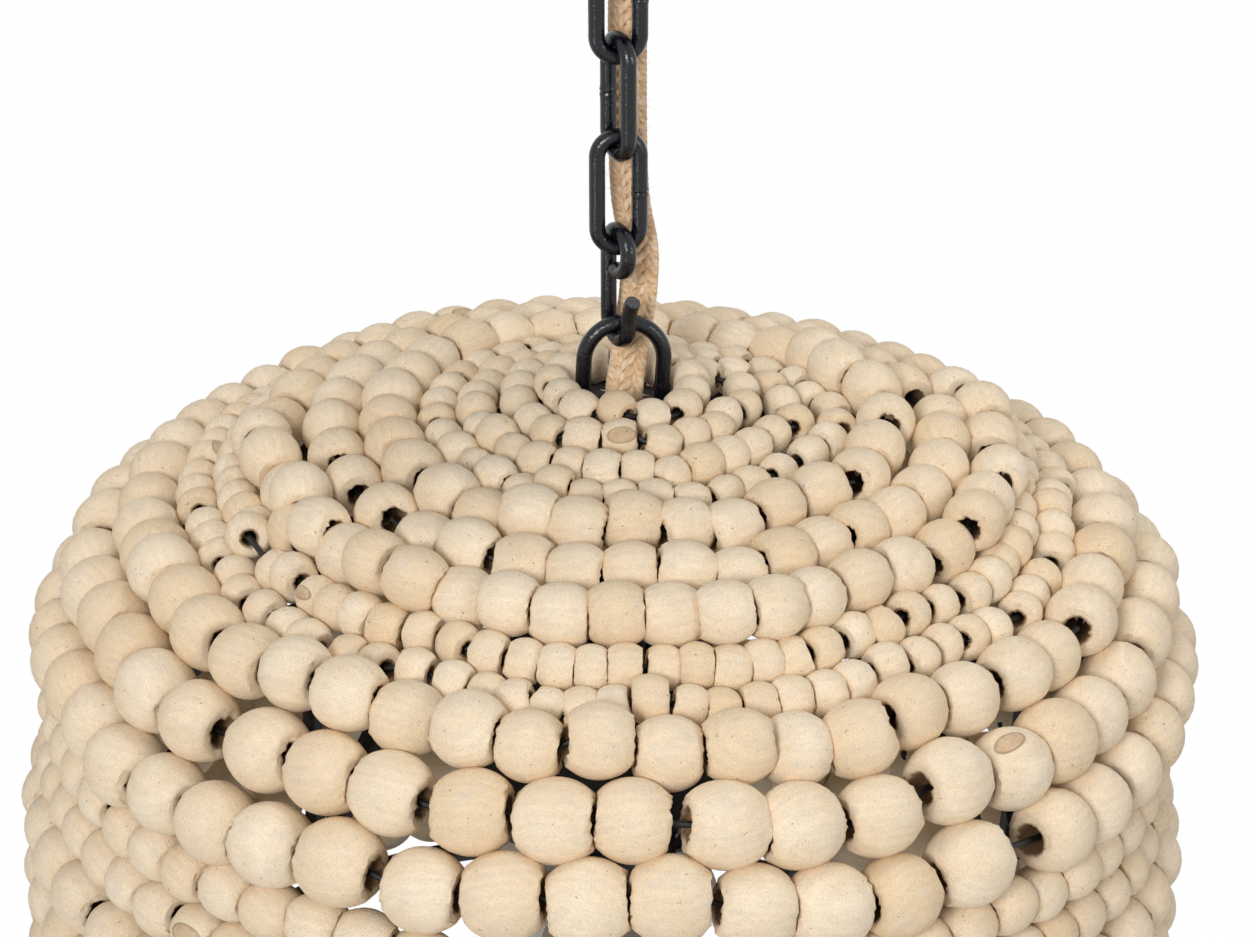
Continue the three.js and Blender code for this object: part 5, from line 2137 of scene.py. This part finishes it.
@dataclass
class CeilingFitting:
    """The spun dish, the parts that hold the chain to the ceiling, and what the cord needs."""

    radius: float = 62 * MM
    depth: float = 26 * MM
    wall: float = 1.6 * MM
    flat_shares: tuple = (0.1, 0.35, 0.6)
    side_shares: tuple = ((0.82, 0.86), (0.95, 0.6), (1, 0.3), (1, 0.02))
    overrun: float = 5 * MM
    nipple_radius: float = 5 * MM
    nipple_bore: float = 3 * MM
    nipple_top: float = 3.3 * MM
    nipple_entry: float = 4.2 * MM
    thread_pitch: float = 1.0 * MM
    thread_depth: float = 0.22 * MM
    tap_gap: float = 0.4 * MM
    tap_depth: float = 4.5 * MM
    nut_radius: float = 11 * MM
    nut_height: float = 5 * MM
    nut_edge: float = 0.9 * MM
    base_radius: float = 8.5 * MM
    base_height: float = 8 * MM
    base_edge: float = 1.1 * MM
    eye_width: float = 27 * MM
    cord_at: tuple = (4 * MM, 24 * MM)
    bushing_bore: float = 6.4 * MM
    bushing_radius: float = 8 * MM
    bushing_gap: float = 0.1 * MM
    bushing_edge: float = 0.7 * MM
    flange: float = 2.2 * MM
    connector_radius: float = 6 * MM
    connector_tip: float = 3.4 * MM
    connector_length: float = 19 * MM
    connector_edge: float = 1.2 * MM
    connector_spacing: float = 30 * MM
    connector_offset: float = -26 * MM
    bar_edge: float = 0.5 * MM
    dish_around: int = 128
    hole_around: int = 40
    thread_around: int = 40
    thread_steps: int = 110
    nut_around: int = 144
    nut_flutes: int = 24
    nut_flute_depth: float = 0.035
    base_around: int = 56
    eye_sides: int = 20
    bushing_around: int = 48
    connector_around: int = 96
    connector_flutes: int = 12
    connector_flute_depth: float = 0.07
    grip_from: float = 2.5 * MM

    def build(self) -> Made:
        """Make the fitting's pieces.

        Returns:
            Their objects, and the frame's own that stay.
        """
        made = [self._dish(), self._nipple(), self._nut(), self._eye(), self._bushing()]
        made += [self._connector(k) for k in range(2)]
        return [*made, dressed("ceiling_crossbar", ZINC, self.bar_edge)]

    def _dish(self) -> bpy.types.Object:
        """The spun dish, with the cord's hole.

        Returns:
            Its object.
        """
        flat = [(share * self.radius, -self.depth) for share in self.flat_shares]
        side = [(r * self.radius, -z * self.depth) for r, z in self.side_shares]
        skin = spline([*flat, *side], 8)
        profile = np.concatenate([skin, (skin + beside(skin) * self.wall)[::-1]])
        shell = Piece("canopy_shell", BLACK).add(turned(profile, self.dish_around)).make("canopy_dish")
        hole = box_of(0.01 * MM, self.bushing_radius, -self.depth - self.overrun,
                      -self.depth + self.overrun)
        cutter = Piece("cord_hole", BLACK)
        cutter.add(turned(hole, self.hole_around), Matrix.Translation((*self.cord_at, 0)))
        self._bored(shell, cutter.make())
        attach(shell, "ceiling_fitting")
        return shell

    @staticmethod
    def _bored(target: bpy.types.Object, cutter: bpy.types.Object) -> None:
        """Take the cutter's shape out of the target, and delete the cutter.

        Args:
            target: What is bored.
            cutter: What bores it.
        """
        cut = target.modifiers.new("hole", "BOOLEAN")
        cut.object = cutter
        cut.solver = "EXACT"
        graph = bpy.context.evaluated_depsgraph_get()
        mesh = bpy.data.meshes.new_from_object(target.evaluated_get(graph))
        target.modifiers.clear()
        target.data = mesh
        mesh.shade_smooth()
        mesh.set_sharp_from_angle(angle=math.radians(40))
        bpy.data.objects.remove(cutter)

    def _low(self) -> float:
        """The height of the hang loop's seat under the nut."""
        return -self.depth - SEAT_GAP * 2 - self.nut_height

    def _nipple(self) -> bpy.types.Object:
        """The threaded tube from the crossbar to the hang loop.

        Returns:
            Its object.
        """
        low, high = self._low() - self.nipple_entry, -self.nipple_top
        height = np.linspace(low, high, self.thread_steps)
        ridge = np.sin(height / self.thread_pitch * TURN) * self.thread_depth
        wall = np.column_stack([self.nipple_radius - self.thread_depth + ridge, height])
        profile = np.concatenate([wall, [(self.nipple_bore, high), (self.nipple_bore, low)]])
        part = Piece("nipple_thread", ZINC).add(turned(profile, self.thread_around))
        return part.ride("ceiling_fitting", "threaded_nipple")

    def _nut(self) -> bpy.types.Object:
        """The collar nut, with flutes to turn it by.

        Returns:
            Its object.
        """
        high, bore = -self.depth - SEAT_GAP, self.nipple_radius + self.tap_gap
        corners = box_of(bore, self.nut_radius, high - self.nut_height, high)
        plain = turned(softened(corners, self.nut_edge), self.nut_around)
        shape = fluted(plain, self.nut_flutes, self.nut_flute_depth,
                       lambda r: np.clip((r - bore) / (self.nut_radius - bore), 0, 1) ** 4)
        return Piece("collar_ring", BLACK).add(shape).ride("collar_nut", "collar_nut")

    def _eye(self) -> bpy.types.Object:
        """The eye that the chain hangs in, on its tapped base.

        Returns:
            Its object.
        """
        top = self._low()
        low, tapped = top - self.base_height, top - self.tap_depth
        bore = self.nipple_radius + self.tap_gap
        corners = [(AXIS_HOLE, low), (self.base_radius, low), (self.base_radius, top), (bore, top),
                   (bore, tapped), (AXIS_HOLE, tapped)]
        part = Piece("hang_eye", BLACK).lathe(corners, self.base_edge, self.base_around)
        bend = (self.eye_width - LINK_WIRE) / 2
        ring = arc((0, low - bend + LINK_WIRE / 2), bend, 0, 360, 90)[:-1]
        section = round_section(self.eye_sides) * LINK_WIRE / 2
        shape = upright(ring, (1, 0), section, 1.0, True)
        return part.add(shape, turned_to(FACE_TURN_DEG)).ride("ceiling_fitting", "hang_loop")

    def _bushing(self) -> bpy.types.Object:
        """The bushing that lines the cord's hole.

        Returns:
            Its object.
        """
        high = -self.depth - SEAT_GAP / 3
        neck = -self.depth + self.wall + self.flange
        outer, inner = self.bushing_radius + self.flange, self.bushing_radius - self.bushing_gap
        corners = [(self.bushing_bore, high - self.flange), (outer, high - self.flange),
                   (outer, high), (inner, high), (inner, neck), (self.bushing_bore, neck)]
        place = Matrix.Translation((*self.cord_at, 0))
        part = Piece("bushing_ring", RESIN)
        part.lathe(corners, self.bushing_edge, self.bushing_around, place)
        return part.ride("ceiling_fitting", "cord_bushing")

    def _connector(self, index: int) -> bpy.types.Object:
        """One twist-on wire connector, with its grip flutes.

        Args:
            index: 0 for the left one, 1 for the right one.

        Returns:
            Its object.
        """
        half = self.connector_length / 2
        corners = [(AXIS_HOLE, -half), (self.connector_radius, -half), (self.connector_tip, half),
                   (AXIS_HOLE, half)]
        plain = turned(softened(corners, self.connector_edge), self.connector_around)
        shape = fluted(plain, self.connector_flutes, self.connector_flute_depth,
                       lambda r: r > self.grip_from)
        floor = -self.depth + self.wall + SEAT_GAP + self.connector_radius
        side = (index * 2 - 1) * self.connector_spacing / 2
        place = Matrix.Translation((side, self.connector_offset, floor))
        part = Piece(f"wire_nut_{index + 1}", RESIN)
        part.add(shape, place @ Matrix.Rotation(math.pi / 2, 4, "X"))
        return part.ride("ceiling_fitting", f"wire_connector_{index + 1}")


def main() -> None:
    """Build everything, the camera and the cord first, and report each piece."""
    logging.basicConfig(level=logging.INFO, format="%(message)s")
    for builder in (Studio(), JuteCord(), Chain(), Crown(), Ribcage(), BeadRows(), LampCluster(),
                    CeilingFitting()):
        for made in builder.build():
            log.info("%s: %s", type(builder).__name__, made.name)


if __name__ == "__main__":
    main()
